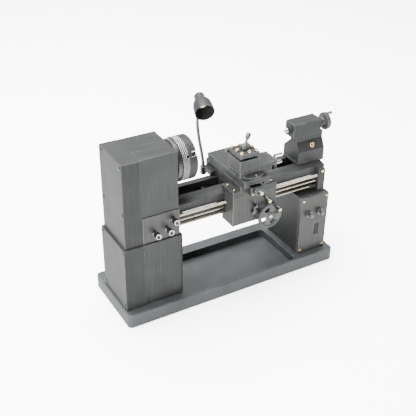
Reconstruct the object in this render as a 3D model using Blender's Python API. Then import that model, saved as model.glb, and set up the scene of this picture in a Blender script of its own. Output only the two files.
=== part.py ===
"""Miniature bench-top metal lathe: chip tray, headstock on a cabinet, bed, carriage and tailstock.

X runs along the bed from the headstock to the tailstock, Y runs to the back, Z is up.
The origin is the centre of the tray's underside. Lengths below are in millimetres, and
every mesh is turned into metres as it is made.
"""
import math

import bmesh
import bpy
from mathutils import Matrix, Vector

MM = 0.001
GAP = 0.3               # clearance left between parts that rest on each other
RUN = 0.05              # radial clearance of a shaft that turns or slides in a bore

# --- driving dimensions --------------------------------------------------------------
AXIS_Y = -4.5           # spindle axis
AXIS_Z = 173.0
BASE_LENGTH = 280.0
BASE_DEPTH = 94.0
BASE_HEIGHT = 16.6
BASE_CORNER = 5.0
TRAY_FLOOR = 6.0
TRAY_X = (-63.5, 85.0)
TRAY_Y = (-44.0, 31.0)

CAB_X = (-137.5, -68.4)
CAB_Y = (-36.6, 24.7)
CAB_TOP = 96.2
HEAD_X = (-134.8, -70.0)
HEAD_Y = (-33.8, 22.4)
HEAD_TOP = 197.8
COVER_SPLIT = -114.2    # plane between the end covers and the housings
WALL = 2.4
KNOB_PLACES = ((-100.0, 108.4), (-84.6, 108.8), (-77.9, 119.4))     # x and z

BED_X = (-69.6, 132.0)
BED_Y = (-24.0, 15.5)
BED_TOP = 128.5
BED_BOTTOM = 95.2

PED_X = (92.5, 132.4)
PED_Y = (-37.4, 28.9)
PED_TOP = 94.9
PANEL_THICK = 4.0
BUTTON_X = (104.0, 120.0)
BUTTON_Z = 71.8
INSET_X = (113.6, 122.4)
INSET_Z = (37.6, 55.4)

ROD_Y = -27.0
LEADSCREW_Z = 115.5
FEED_ROD_Z = 109.6
CONTROL_ROD_Z = 103.4
LEADSCREW_R = 1.7
FEED_ROD_R = 1.1
ROD_BRACKET_X = (119.5, 128.5)
BRACKET_FRONT = -31.0
BRACKET_ARCH_Z = 122.6

CHUCK_R = 24.8
PLATE_X = (-69.6, -62.2)
RING_X = (-61.9, -52.9)
BODY_X = (-52.6, -43.4)
JAW_COUNT = 3
JAW_PHASE = -62.0       # degrees from straight up to the first jaw

SADDLE_X = (1.5, 34.5)
WING_X = (-7.4, 50.0)
SADDLE_Y = (-43.0, 33.5)
WING_Z = (128.8, 134.5)
BRIDGE_TOP = 141.3
SADDLE_DOVETAIL_X = 18.0
APRON_Y = (-43.0, -20.0)
APRON_Z = (91.0, 128.5)
WHEEL_AXIS = (39.0, 95.5)    # x and z of the apron handwheel
WHEEL_R = 15.5
WHEEL_SPOKE_PHASE = 20.0
HALF_NUT_LEVER = (20.0, 104.0)

LAMP_FOOT = (-3.4, 31.0)
LAMP_FOOT_Z = 127.4
LAMP_NECK_R = 1.75
LAMP_MOUTH_R = 11.2
LAMP_PIVOT = (-8.7, 31.0, 219.4)       # in the lamp's cap, on its tilting axis
LAMP_DIRECTION = (-0.25, -0.92, -0.31)

SLIDE_Y = (-51.0, 30.0)
SLIDE_TOP = 150.0
CROSS_AXIS = (18.0, 136.0)      # x and z
CROSS_CRANK_TURN = 50.0
BRACKET_END_Y = -51.0
SWIVEL = (18.0, -32.0)
POST = (11.6, -32.0)
POST_SIZE = 24.6
POST_STUD_R = 2.0
TOP_SLIDE_Y = (-44.3, -19.7)
COMPOUND_AXIS_Z = 157.2

TAIL_X = (98.5, 135.5)
TAIL_Y = (-16.0, 14.5)
BARREL_X = (91.3, 129.8)
BARREL_HALF = 9.0
TAIL_WHEEL_R = 10.5

# colour, roughness and metallic value of each finish
FINISHES = {
    "gunmetal": ((0.130, 0.135, 0.135, 1.0), 0.42, 0.85),
    "dark_metal": ((0.085, 0.090, 0.092, 1.0), 0.48, 0.80),
    "black": ((0.015, 0.015, 0.016, 1.0), 0.45, 0.20),
    "chrome": ((0.75, 0.76, 0.77, 1.0), 0.12, 1.0),
    "steel": ((0.50, 0.50, 0.49, 1.0), 0.30, 1.0),
    "nickel": ((0.62, 0.57, 0.47, 1.0), 0.28, 1.0),
    "brass": ((0.78, 0.62, 0.33, 1.0), 0.25, 1.0),
    "rubber": ((0.020, 0.020, 0.020, 1.0), 0.80, 0.0),
    "lamp": ((0.95, 0.90, 0.65, 1.0), 0.30, 0.0),
}


# --- mesh helpers -----------------------------------------------------------------------
def circle(centre, radius, segments, phase=0.0):
    """Points of a regular polygon in a plane, counter-clockwise."""
    step = 2 * math.pi / segments
    return [(centre[0] + radius * math.cos(phase + step * i),
             centre[1] + radius * math.sin(phase + step * i)) for i in range(segments)]


def place(axis, u, v, w):
    """A point at w along the axis, u and v being the other two coordinates in X, Y, Z order."""
    if axis == "X":
        return Vector((w, u, v))
    if axis == "Y":
        return Vector((u, w, v))
    return Vector((u, v, w))


def prism(outline, axis, start, end):
    """A closed prism: an outline swept along X, Y or Z."""
    mesh = bmesh.new()
    low = [mesh.verts.new(place(axis, u, v, start)) for u, v in outline]
    high = [mesh.verts.new(place(axis, u, v, end)) for u, v in outline]
    count = len(outline)
    mesh.faces.new(low)
    mesh.faces.new(high)
    for i in range(count):
        j = (i + 1) % count
        mesh.faces.new((low[i], low[j], high[j], high[i]))
    bmesh.ops.recalc_face_normals(mesh, faces=mesh.faces)
    return mesh


def block(x, y, z, bevel=0.0, segments=2):
    """A box given by its three ranges, with all its edges bevelled."""
    mesh = prism([(x[0], y[0]), (x[1], y[0]), (x[1], y[1]), (x[0], y[1])], "Z", z[0], z[1])
    if bevel:
        bmesh.ops.bevel(mesh, geom=mesh.edges[:], offset=bevel, segments=segments,
                        profile=0.5, affect="EDGES", clamp_overlap=True)
    return mesh


def rounded_block(x, y, z, corner, corner_segments=5, top_bevel=0.0):
    """A box whose four vertical edges are rounded, with an optional bevel on the top edge."""
    outline = []
    centres = [(x[1] - corner, y[1] - corner), (x[0] + corner, y[1] - corner),
               (x[0] + corner, y[0] + corner), (x[1] - corner, y[0] + corner)]
    for quarter, centre in enumerate(centres):
        for i in range(corner_segments + 1):
            angle = math.pi / 2 * (quarter + i / corner_segments)
            outline.append((centre[0] + corner * math.cos(angle),
                            centre[1] + corner * math.sin(angle)))
    mesh = prism(outline, "Z", z[0], z[1])
    if top_bevel:
        edges = [e for e in mesh.edges if all(abs(v.co.z - z[1]) < 1e-6 for v in e.verts)]
        bmesh.ops.bevel(mesh, geom=edges, offset=top_bevel, segments=3, profile=0.5,
                        affect="EDGES", clamp_overlap=True)
    return mesh


def cylinder(axis, centre, radius, start, end, segments=32):
    """A round bar along X, Y or Z."""
    return prism(circle(centre, radius, segments), axis, start, end)


def turned(axis, centre, profile, segments=32):
    """A turned solid: profile is a list of (position along the axis, radius) from end to end."""
    mesh = bmesh.new()
    rings = []
    for position, radius in profile:
        if radius == 0:
            rings.append([mesh.verts.new(place(axis, centre[0], centre[1], position))])
        else:
            points = circle(centre, radius, segments)
            rings.append([mesh.verts.new(place(axis, u, v, position)) for u, v in points])
    for ring in (rings[0], rings[-1]):
        if len(ring) > 1:
            mesh.faces.new(ring)
    for near, far in zip(rings, rings[1:]):
        for i in range(segments):
            j = (i + 1) % segments
            corners = [near[i % len(near)], near[j % len(near)], far[j % len(far)], far[i % len(far)]]
            corners = list(dict.fromkeys(corners))
            mesh.faces.new(corners)
    bmesh.ops.recalc_face_normals(mesh, faces=mesh.faces)
    return mesh


def turned_ring(axis, centre, loop, segments=32):
    """A turned ring: loop is a closed section of (position along the axis, radius)."""
    mesh = bmesh.new()
    rings = []
    for position, radius in loop:
        points = circle(centre, radius, segments)
        rings.append([mesh.verts.new(place(axis, u, v, position)) for u, v in points])
    for k, near in enumerate(rings):
        far = rings[(k + 1) % len(rings)]
        for i in range(segments):
            j = (i + 1) % segments
            mesh.faces.new((near[i], near[j], far[j], far[i]))
    bmesh.ops.recalc_face_normals(mesh, faces=mesh.faces)
    return mesh


def tube(axis, centre, outer, inner, start, end, segments=32):
    """A plain tube."""
    loop = [(start, outer), (end, outer), (end, inner), (start, inner)]
    return turned_ring(axis, centre, loop, segments)


def swept(points, radius, segments=12):
    """A round bar along a list of points, with flat ends."""
    path = [Vector(p) for p in points]
    mesh = bmesh.new()
    rings = []
    side = Vector((1, 0, 0))
    for i, point in enumerate(path):
        ahead = path[min(i + 1, len(path) - 1)] - path[max(i - 1, 0)]
        ahead.normalize()
        side = (side - ahead * side.dot(ahead)).normalized()
        other = ahead.cross(side)
        rings.append([mesh.verts.new(point + side * a + other * b)
                      for a, b in circle((0, 0), radius, segments)])
    mesh.faces.new(rings[0])
    mesh.faces.new(rings[-1])
    for near, far in zip(rings, rings[1:]):
        for i in range(segments):
            j = (i + 1) % segments
            mesh.faces.new((near[i], near[j], far[j], far[i]))
    bmesh.ops.recalc_face_normals(mesh, faces=mesh.faces)
    return mesh


def moved(mesh, matrix):
    """The same mesh after a rotation or a shift."""
    bmesh.ops.transform(mesh, matrix=matrix, verts=mesh.verts)
    return mesh


# --- objects -----------------------------------------------------------------------------
def material(name, finish):
    """A Principled material of its own for one object."""
    colour, roughness, metallic = FINISHES[finish]
    made = bpy.data.materials.new(name + "_material")
    made.use_nodes = True
    shader = made.node_tree.nodes["Principled BSDF"]
    shader.inputs["Base Color"].default_value = colour
    shader.inputs["Roughness"].default_value = roughness
    shader.inputs["Metallic"].default_value = metallic
    made.diffuse_color = colour
    return made


def thing(name, mesh, finish="gunmetal", origin=(0, 0, 0), smooth=False):
    """An object made from a mesh in millimetres, with its origin on its joint axis."""
    data = bpy.data.meshes.new(name)
    bmesh.ops.transform(mesh, matrix=Matrix.Scale(MM, 4) @ Matrix.Translation(-Vector(origin)),
                        verts=mesh.verts)
    mesh.to_mesh(data)
    mesh.free()
    data.materials.append(material(name, finish))
    if smooth:
        data.shade_smooth()
        data.set_sharp_from_angle(angle=math.radians(35))
    made = bpy.data.objects.new(name, data)
    made.location = Vector(origin) * MM
    bpy.context.collection.objects.link(made)
    return made


def shaped(target, operation, tool_mesh):
    """Cut or join a mesh with an object, and keep the result."""
    tool = thing("tool", tool_mesh)
    modifier = target.modifiers.new("shape", "BOOLEAN")
    modifier.operation = operation
    modifier.solver = "EXACT"
    modifier.object = tool
    bpy.context.view_layer.update()
    graph = bpy.context.evaluated_depsgraph_get()
    result = bpy.data.meshes.new_from_object(target.evaluated_get(graph))
    target.modifiers.clear()
    before = target.data
    target.data = result
    result.name = target.name
    bpy.data.meshes.remove(before)
    tool_data = tool.data
    tool_material = tool_data.materials[0]
    bpy.data.objects.remove(tool)
    bpy.data.meshes.remove(tool_data)
    bpy.data.materials.remove(tool_material)
    while len(result.materials) > 1:
        result.materials.pop(index=1)
    return target


def cut(target, *meshes):
    for mesh in meshes:
        shaped(target, "DIFFERENCE", mesh)
    return target


def join(target, *meshes):
    for mesh in meshes:
        shaped(target, "UNION", mesh)
    return target


def smooth(target, degrees=35):
    target.data.shade_smooth()
    target.data.set_sharp_from_angle(angle=math.radians(degrees))
    return target


def cap_screw(axis, centre, seat, head_r, head_h, outwards, shank_r=0.0, shank=0.0, segments=20):
    """A socket-head screw: outwards is +1 or -1, the way its head points along the axis."""
    top = seat + outwards * head_h
    socket_r = head_r * 0.52
    socket_floor = seat + outwards * head_h * 0.45
    chamfer = head_r * 0.12
    profile = []
    if shank:
        profile += [(seat - outwards * shank, shank_r), (seat, shank_r)]
    profile += [(seat, head_r), (top - outwards * chamfer, head_r), (top, head_r - chamfer)]
    profile += [(top, socket_r), (socket_floor, socket_r)]
    return turned(axis, centre, profile, segments)


def open_box(x, y, z, wall, open_side, bevel=0.5):
    """A box shell, open on its "left" or "right" side, as outer and inner meshes."""
    outer = block(x, y, z, bevel)
    reach = 5.0
    inner_x = (x[0] - reach, x[1] - wall) if open_side == "left" else (x[0] + wall, x[1] + reach)
    inner = block(inner_x, (y[0] + wall, y[1] - wall), (z[0] + wall, z[1] - wall))
    return outer, inner


# --- base and cabinet ----------------------------------------------------------------------
def make_base():
    half_x = BASE_LENGTH / 2
    half_y = BASE_DEPTH / 2
    tray = thing("base_tray", rounded_block((-half_x, half_x), (-half_y, half_y),
                                            (0, BASE_HEIGHT), BASE_CORNER, 5, 1.5))
    cut(tray, rounded_block(TRAY_X, TRAY_Y, (TRAY_FLOOR, BASE_HEIGHT + 5), 6.0, 5))
    smooth(tray)


def make_cabinet():
    floor = BASE_HEIGHT + GAP
    outer, inner = open_box((COVER_SPLIT + GAP, CAB_X[1]), (CAB_Y[0] + 1.0, CAB_Y[1] - 0.6),
                            (floor, CAB_TOP), WALL, "left")
    cabinet = thing("cabinet_housing", outer)
    cut(cabinet, inner, cylinder("Y", (-90, 34), 4.05, 15, 40))
    outer, inner = open_box((CAB_X[0], COVER_SPLIT), CAB_Y, (floor, CAB_TOP), WALL, "right")
    cover = thing("cabinet_end_cover", outer)
    cut(cover, inner, block((-130.5, -116.5), (-24, 15), (CAB_TOP - 5, CAB_TOP + 5)))
    plate = rounded_block((CAB_X[1] + GAP, CAB_X[1] + 1.9), (CAB_Y[0] + 1.6, CAB_Y[1] - 2.0),
                          (floor + 2.0, CAB_TOP - 0.5), 0.7, 3)
    thing("cabinet_side_plate", plate, "dark_metal")
    inlet = thing("power_inlet", cylinder("Y", (-90, 34), 4.0, 19.0, CAB_Y[1] - 0.2, 24), "black")
    join(inlet, cylinder("Y", (-90, 34), 5.2, CAB_Y[1] - 0.3, CAB_Y[1] + 1.4, 24))
    cut(inlet, cylinder("Y", (-90, 34), 2.8, 21.0, CAB_Y[1] + 3, 24))
    join(inlet, cylinder("Y", (-90, 34), 0.9, 20.0, CAB_Y[1] - 0.5, 12))
    smooth(inlet)


def make_headstock():
    floor = CAB_TOP + GAP
    outer, inner = open_box((COVER_SPLIT + GAP, HEAD_X[1]), (HEAD_Y[0] + 1.1, HEAD_Y[1] - 0.6),
                            (floor, HEAD_TOP), WALL, "left")
    housing = thing("headstock_housing", outer)
    axis = (AXIS_Y, AXIS_Z)
    cut(housing, inner)
    join(housing, block((-113.7, -108.3), (HEAD_Y[0] + 2.5, HEAD_Y[1] - 2.0), (159, HEAD_TOP - 1.5)))
    cut(housing, cylinder("X", axis, 8.95, -120, -60))
    for z, radius in ((LEADSCREW_Z, LEADSCREW_R), (FEED_ROD_Z, FEED_ROD_R),
                      (CONTROL_ROD_Z, FEED_ROD_R)):
        cut(housing, cylinder("X", (ROD_Y, z), radius + RUN * 4, -75, -65, 24))
    for x, z in KNOB_PLACES:
        cut(housing, cylinder("Y", (x, z), 1.8, -36, -28, 20))
    outer, inner = open_box((HEAD_X[0], COVER_SPLIT), HEAD_Y, (floor, HEAD_TOP), WALL, "right")
    cover = thing("gear_cover", outer)
    cut(cover, inner, block((-130.5, -116.5), (-24, 15), (floor - 5, floor + 5)))
    panel = thing("gearbox_panel", block((-113.4, HEAD_X[1] + 0.4),
                                         (HEAD_Y[0] - 0.2, HEAD_Y[0] + 0.8), (97.2, 128.8), 0.25, 1))
    for x, z in KNOB_PLACES:
        cut(panel, cylinder("Y", (x, z), 1.8, -36, -30, 20))


# --- drive inside the headstock and the cabinet -------------------------------------------
def make_drive():
    axis = (AXIS_Y, AXIS_Z)
    motor_axis = (AXIS_Y, 56.0)
    thing("motor", turned("X", motor_axis, [(-110, 16), (-109, 17.5), (-76, 17.5), (-75, 16.5),
                                            (-75, 6), (-72.5, 6)], 24), "steel", smooth=True)
    at_motor = (0, motor_axis[0], motor_axis[1])
    pulley = turned_ring("X", motor_axis, [(-126, 8), (-125, 8), (-125, 6.5), (-119, 6.5),
                                           (-119, 8), (-118, 8), (-118, 1.6), (-126, 1.6)], 24)
    rotor = thing("motor_rotor", pulley, "steel", origin=at_motor)
    smooth(join(rotor, cylinder("X", motor_axis, 2.0, -127, -110.3, 24)))
    at_axis = (0, AXIS_Y, AXIS_Z)
    spindle = turned("X", axis, [(-129, 4.5), (-75, 4.5), (-75, 5.9), (-62.6, 5.9)], 32)
    spindle = thing("spindle", spindle, "steel", origin=at_axis, smooth=True)
    cut(spindle, cylinder("X", axis, 2.6, -135, -55, 24))
    smooth(spindle)
    pulley = turned_ring("X", axis, [(-126, 14.5), (-125, 14.5), (-125, 13), (-119, 13), (-119, 14.5),
                                     (-118, 14.5), (-118, 3.6), (-126, 3.6)], 32)
    smooth(join(spindle, pulley))
    thing("rear_bearing", tube("X", axis, 8.9, 4.55, -113.5, -108.5, 32), "steel", smooth=True)
    thing("front_bearing", tube("X", axis, 8.9, 5.95, -74, -70.4, 32), "steel", smooth=True)
    thing("drive_belt", belt(motor_axis, 6.8, axis, 13.3, (-124.6, -119.4)), "rubber")
    gearbox = thing("feed_gearbox", block((-111.0, -74.0), (-29.0, -12.0), (98.9, 127.0), 0.5, 1),
                    "dark_metal")
    for z, radius in ((LEADSCREW_Z, LEADSCREW_R), (FEED_ROD_Z, FEED_ROD_R),
                      (CONTROL_ROD_Z, FEED_ROD_R)):
        cut(gearbox, cylinder("X", (ROD_Y, z), radius + RUN * 4, -115, -70, 24))


def belt(low_centre, low_r, high_centre, high_r, span):
    """An open belt loop around two pulleys, as one closed ring."""
    thick = 1.0
    outlines = []
    for extra in (0.0, thick):
        length = high_centre[1] - low_centre[1]
        lean = math.asin((high_r - low_r) / length)
        outline = []
        steps = 12
        for i in range(steps + 1):
            angle = -lean + (math.pi + 2 * lean) * i / steps
            outline.append((high_centre[0] + (high_r + extra) * math.cos(angle),
                            high_centre[1] + (high_r + extra) * math.sin(angle)))
        for i in range(steps + 1):
            angle = math.pi + lean + (math.pi - 2 * lean) * i / steps
            outline.append((low_centre[0] + (low_r + extra) * math.cos(angle),
                            low_centre[1] + (low_r + extra) * math.sin(angle)))
        outlines.append(outline)
    mesh = bmesh.new()
    loops = []
    for outline, x in ((outlines[1], span[0]), (outlines[1], span[1]),
                       (outlines[0], span[1]), (outlines[0], span[0])):
        loops.append([mesh.verts.new((x, u, v)) for u, v in outline])
    for k, near in enumerate(loops):
        far = loops[(k + 1) % 4]
        for i in range(len(near)):
            j = (i + 1) % len(near)
            mesh.faces.new((near[i], near[j], far[j], far[i]))
    bmesh.ops.recalc_face_normals(mesh, faces=mesh.faces)
    return mesh


def make_chuck():
    axis = (AXIS_Y, AXIS_Z)
    at_axis = (0, AXIS_Y, AXIS_Z)
    plate = turned_ring("X", axis, [(PLATE_X[0], 14.0), (-66.5, 14.0), (-66.5, 23.8),
                                    (PLATE_X[1], 23.8), (PLATE_X[1], 6.2), (PLATE_X[0], 6.2)], 48)
    thing("chuck_backplate", plate, "black", origin=at_axis, smooth=True)
    ring = turned_ring("X", axis, [(RING_X[0], 23.9), (RING_X[0] + 0.9, CHUCK_R),
                                   (RING_X[1], CHUCK_R), (RING_X[1], 9.0), (RING_X[0], 9.0)], 64)
    ring = thing("chuck_ring", ring, "steel", origin=at_axis, smooth=True)
    for angle in (62, 182, 302):
        cut(ring, spoke_hole(angle, -54.6, 1.3))
    smooth(ring)
    hub = turned_ring("X", axis, [(-61.9, 8.9), (BODY_X[0], 8.9), (BODY_X[0], CHUCK_R - 0.1),
                                  (BODY_X[1] - 0.9, CHUCK_R - 0.1), (BODY_X[1], CHUCK_R - 1.0),
                                  (BODY_X[1], 5.0), (-61.9, 5.0)], 64)
    body = thing("chuck_body", hub, "gunmetal", origin=at_axis, smooth=True)
    for k in range(JAW_COUNT):
        slot = block((BODY_X[1] - 6.2, BODY_X[1] + 3), (AXIS_Y - 2.7, AXIS_Y + 2.7),
                     (AXIS_Z, AXIS_Z + 30))
        cut(body, turn_about_axis(slot, JAW_PHASE + 120 * k))
    for angle in (62, 182, 302):
        cut(body, spoke_hole(angle, -49.2, 1.5))
    smooth(body)
    for k in range(JAW_COUNT):
        angle = JAW_PHASE + 120 * k
        outline = [(-49.3, 3.6), (-37.6, 3.6), (-37.6, 8.2), (-40.2, 8.2), (-40.2, 13.4),
                   (-42.2, 13.4), (-42.2, 19.4), (-49.3, 19.4)]
        jaw = prism([(x, AXIS_Z + r) for x, r in outline], "Y", AXIS_Y - 2.4, AXIS_Y + 2.4)
        thing("jaw_%d" % (k + 1), turn_about_axis(jaw, angle), "steel", origin=at_axis)


def turn_about_axis(mesh, degrees):
    """Turn a mesh about the spindle axis."""
    centre = Matrix.Translation((0, AXIS_Y, AXIS_Z))
    turn = centre @ Matrix.Rotation(math.radians(degrees), 4, "X") @ centre.inverted()
    return moved(mesh, turn)


def spoke_hole(degrees, x, radius):
    """A radial hole for a tightening bar."""
    drill = cylinder("Z", (x, AXIS_Y), radius, AXIS_Z + CHUCK_R - 5, AXIS_Z + CHUCK_R + 5, 16)
    return turn_about_axis(drill, degrees)


# --- bed, rods and right-hand pedestal ----------------------------------------------------
def make_bed():
    y0, y1 = BED_Y
    top = BED_TOP
    front = [(y0, top - 2.6), (y0 + 0.8, top - 1.9), (y0 + 7.6, top - 0.6), (y0 + 8.6, top),
             (y0 + 15.6, top), (y0 + 15.6, top - 7), (y0 + 12.6, top - 9), (y0 + 12.6, 100),
             (y0 + 15.6, 98.5), (y0 + 15.6, BED_BOTTOM), (y0 + 7.6, BED_BOTTOM), (y0 + 7.6, 98.5),
             (y0 + 9.0, 100), (y0 + 9.0, top - 11.0), (y0, top - 11.0)]
    rear = [(y1, top), (y1, top - 9), (y1 - 2.6, top - 11), (y1 - 2.6, 100), (y1, 98.5),
            (y1, BED_BOTTOM), (y1 - 7.4, BED_BOTTOM), (y1 - 7.4, 98.5), (y1 - 5.8, 100),
            (y1 - 5.8, top - 9), (y1 - 7.4, top - 7), (y1 - 7.4, top)]
    bed = thing("bed", prism(front, "X", BED_X[0], BED_X[1]))
    join(bed, prism(rear, "X", BED_X[0] + 0.02, BED_X[1] - 0.02))
    ribs = [BED_X[0] + 0.05, -20.0, 30.0, 80.0, BED_X[1] - 3.05]
    for x in ribs:
        join(bed, block((x, x + 3), (y0 + 10, y1 - 3), (BED_BOTTOM + 0.4, top - 8)))
    cut(bed, block((BED_X[0] - 2, CAB_X[1] + 2.2), (y0 - 2, y1 + 2), (BED_BOTTOM - 2, CAB_TOP + GAP)))


def make_rack():
    """A toothed rack under the front rail."""
    pitch = 3.0
    count = 58
    x0 = -60.0
    outline = [(x0 + count * pitch, 117.1), (x0, 117.1)]
    for k in range(count):
        x = x0 + k * pitch
        outline += [(x + 0.35, 114.0), (x + 1.15, 114.0), (x + 1.7, 115.4), (x + 2.8, 115.4)]
    thing("rack", prism(outline, "Y", -23.4, -19.4), "steel")


def make_pedestal():
    floor = BASE_HEIGHT + GAP
    pedestal = thing("pedestal", block(PED_X, (PED_Y[0] + PANEL_THICK + GAP, PED_Y[1]),
                                       (floor, PED_TOP), 0.5))
    cut(pedestal, block((PED_X[0] + WALL, PED_X[1] - WALL), (PED_Y[0] - 5, PED_Y[1] - WALL),
                        (floor + WALL, PED_TOP - WALL)))
    panel = thing("pedestal_panel", block(PED_X, (PED_Y[0], PED_Y[0] + PANEL_THICK),
                                          (floor, PED_TOP), 0.5))
    for x in BUTTON_X:
        join(panel, cylinder("Y", (x, BUTTON_Z), 4.1, PED_Y[0] + 1, PED_Y[0] - 1.2, 24))
        cut(panel, cylinder("Y", (x, BUTTON_Z), 2.2 + RUN, -40, -30, 24))
    cut(panel, block(INSET_X, (PED_Y[0] - 1, PED_Y[0] + 1.0), INSET_Z))
    inset = block((INSET_X[0] + 0.3, INSET_X[1] - 0.3), (PED_Y[0] + 0.35, PED_Y[0] + 0.7),
                  (INSET_Z[0] + 0.3, INSET_Z[1] - 0.3))
    thing("panel_inset", inset, "dark_metal")
    for name, x in zip(("start_button", "stop_button"), BUTTON_X):
        cap = turned("Y", (x, BUTTON_Z), [(-32.0, 2.2), (PED_Y[0] - 5.0, 2.2), (PED_Y[0] - 5.0, 2.7),
                                          (PED_Y[0] - 7.4, 2.7), (PED_Y[0] - 8.0, 2.1)], 24)
        thing(name, cap, "black", origin=(x, -32.0, BUTTON_Z), smooth=True)


def make_rods():
    end = ROD_BRACKET_X[1] - 2.5
    screw = cylinder("X", (ROD_Y, LEADSCREW_Z), LEADSCREW_R, -112.0, end, 16)
    thing("leadscrew", screw, "nickel", origin=(0, ROD_Y, LEADSCREW_Z), smooth=True)
    rod = cylinder("X", (ROD_Y, FEED_ROD_Z), FEED_ROD_R, -100.0, end, 16)
    rod = thing("feed_rod", rod, "nickel", origin=(0, ROD_Y, FEED_ROD_Z), smooth=True)
    control = cylinder("X", (ROD_Y, CONTROL_ROD_Z), FEED_ROD_R, -100.0, end, 16)
    control = thing("control_rod", control, "nickel", origin=(0, ROD_Y, CONTROL_ROD_Z), smooth=True)
    join(control, cylinder("X", (ROD_Y, CONTROL_ROD_Z), 2.6, 109.0, 119.0, 24))
    smooth(control)
    x0, x1 = ROD_BRACKET_X
    radius = (x1 - x0) / 2
    arch = [(x0, 98.0), (x1, 98.0)]
    for i in range(13):
        angle = math.pi * i / 12
        arch.append(((x0 + x1) / 2 + radius * math.cos(angle), BRACKET_ARCH_Z + radius * math.sin(angle)))
    bracket = thing("rod_bracket", prism(arch, "Y", BRACKET_FRONT, BED_Y[0] - GAP))
    for z, rod_r in ((LEADSCREW_Z, LEADSCREW_R), (FEED_ROD_Z, FEED_ROD_R), (CONTROL_ROD_Z, FEED_ROD_R)):
        cut(bracket, cylinder("X", (ROD_Y, z), rod_r + RUN * 2, x0 - 5, x1 - 2.0, 24))


# --- headstock knobs ----------------------------------------------------------------------
def make_knobs():
    seat = HEAD_Y[0] - 0.2
    for k, (x, z) in enumerate(KNOB_PLACES):
        profile = [(-29.4, 1.7), (seat - 0.3, 1.7), (seat - 0.3, 3.0), (seat - 6.6, 3.0), (seat - 6.6, 3.5),
                   (seat - 10.4, 3.5), (seat - 10.8, 3.1), (seat - 10.8, 1.8), (seat - 8.6, 1.8)]
        thing("shift_knob_%d" % (k + 1), turned("Y", (x, z), profile, 24), "chrome",
              origin=(x, seat, z), smooth=True)


# --- carriage -----------------------------------------------------------------------------
def make_saddle():
    wing_z = WING_Z
    bridge = block(SADDLE_X, (SADDLE_Y[0], SADDLE_Y[1]), (wing_z[0] + 0.4, BRIDGE_TOP), 0.3, 1)
    saddle = thing("saddle", bridge)
    join(saddle, block(WING_X, (SADDLE_Y[0] + 0.02, -18.0), wing_z, 0.3, 1))
    join(saddle, block((WING_X[0] + 3, WING_X[1] - 3), (12.0, LAMP_FOOT[1] - 5.0), wing_z, 0.3, 1))
    tail = [(-8.5 + SADDLE_DOVETAIL_X, BRIDGE_TOP - 1), (8.5 + SADDLE_DOVETAIL_X, BRIDGE_TOP - 1),
            (8.5 + SADDLE_DOVETAIL_X, BRIDGE_TOP + 0.2), (10.5 + SADDLE_DOVETAIL_X, BRIDGE_TOP + 3.2),
            (-10.5 + SADDLE_DOVETAIL_X, BRIDGE_TOP + 3.2), (-8.5 + SADDLE_DOVETAIL_X, BRIDGE_TOP + 0.2)]
    join(saddle, prism(tail, "Y", SADDLE_Y[0] + 0.1, SADDLE_Y[1] - 0.1))
    tongue = block((SADDLE_X[0] + 1, SADDLE_X[1] - 1), (-7.6, 7.3), (121.0, wing_z[0] + 1.0))
    join(saddle, tongue)
    join(saddle, block((10.5, 25.5), (BRACKET_END_Y, SADDLE_Y[0] + 1), (129.5, BRIDGE_TOP - 1.0), 0.6, 1))
    cut(saddle, cylinder("Y", CROSS_AXIS, 1.5 + RUN, -60, -30, 20))


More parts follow.
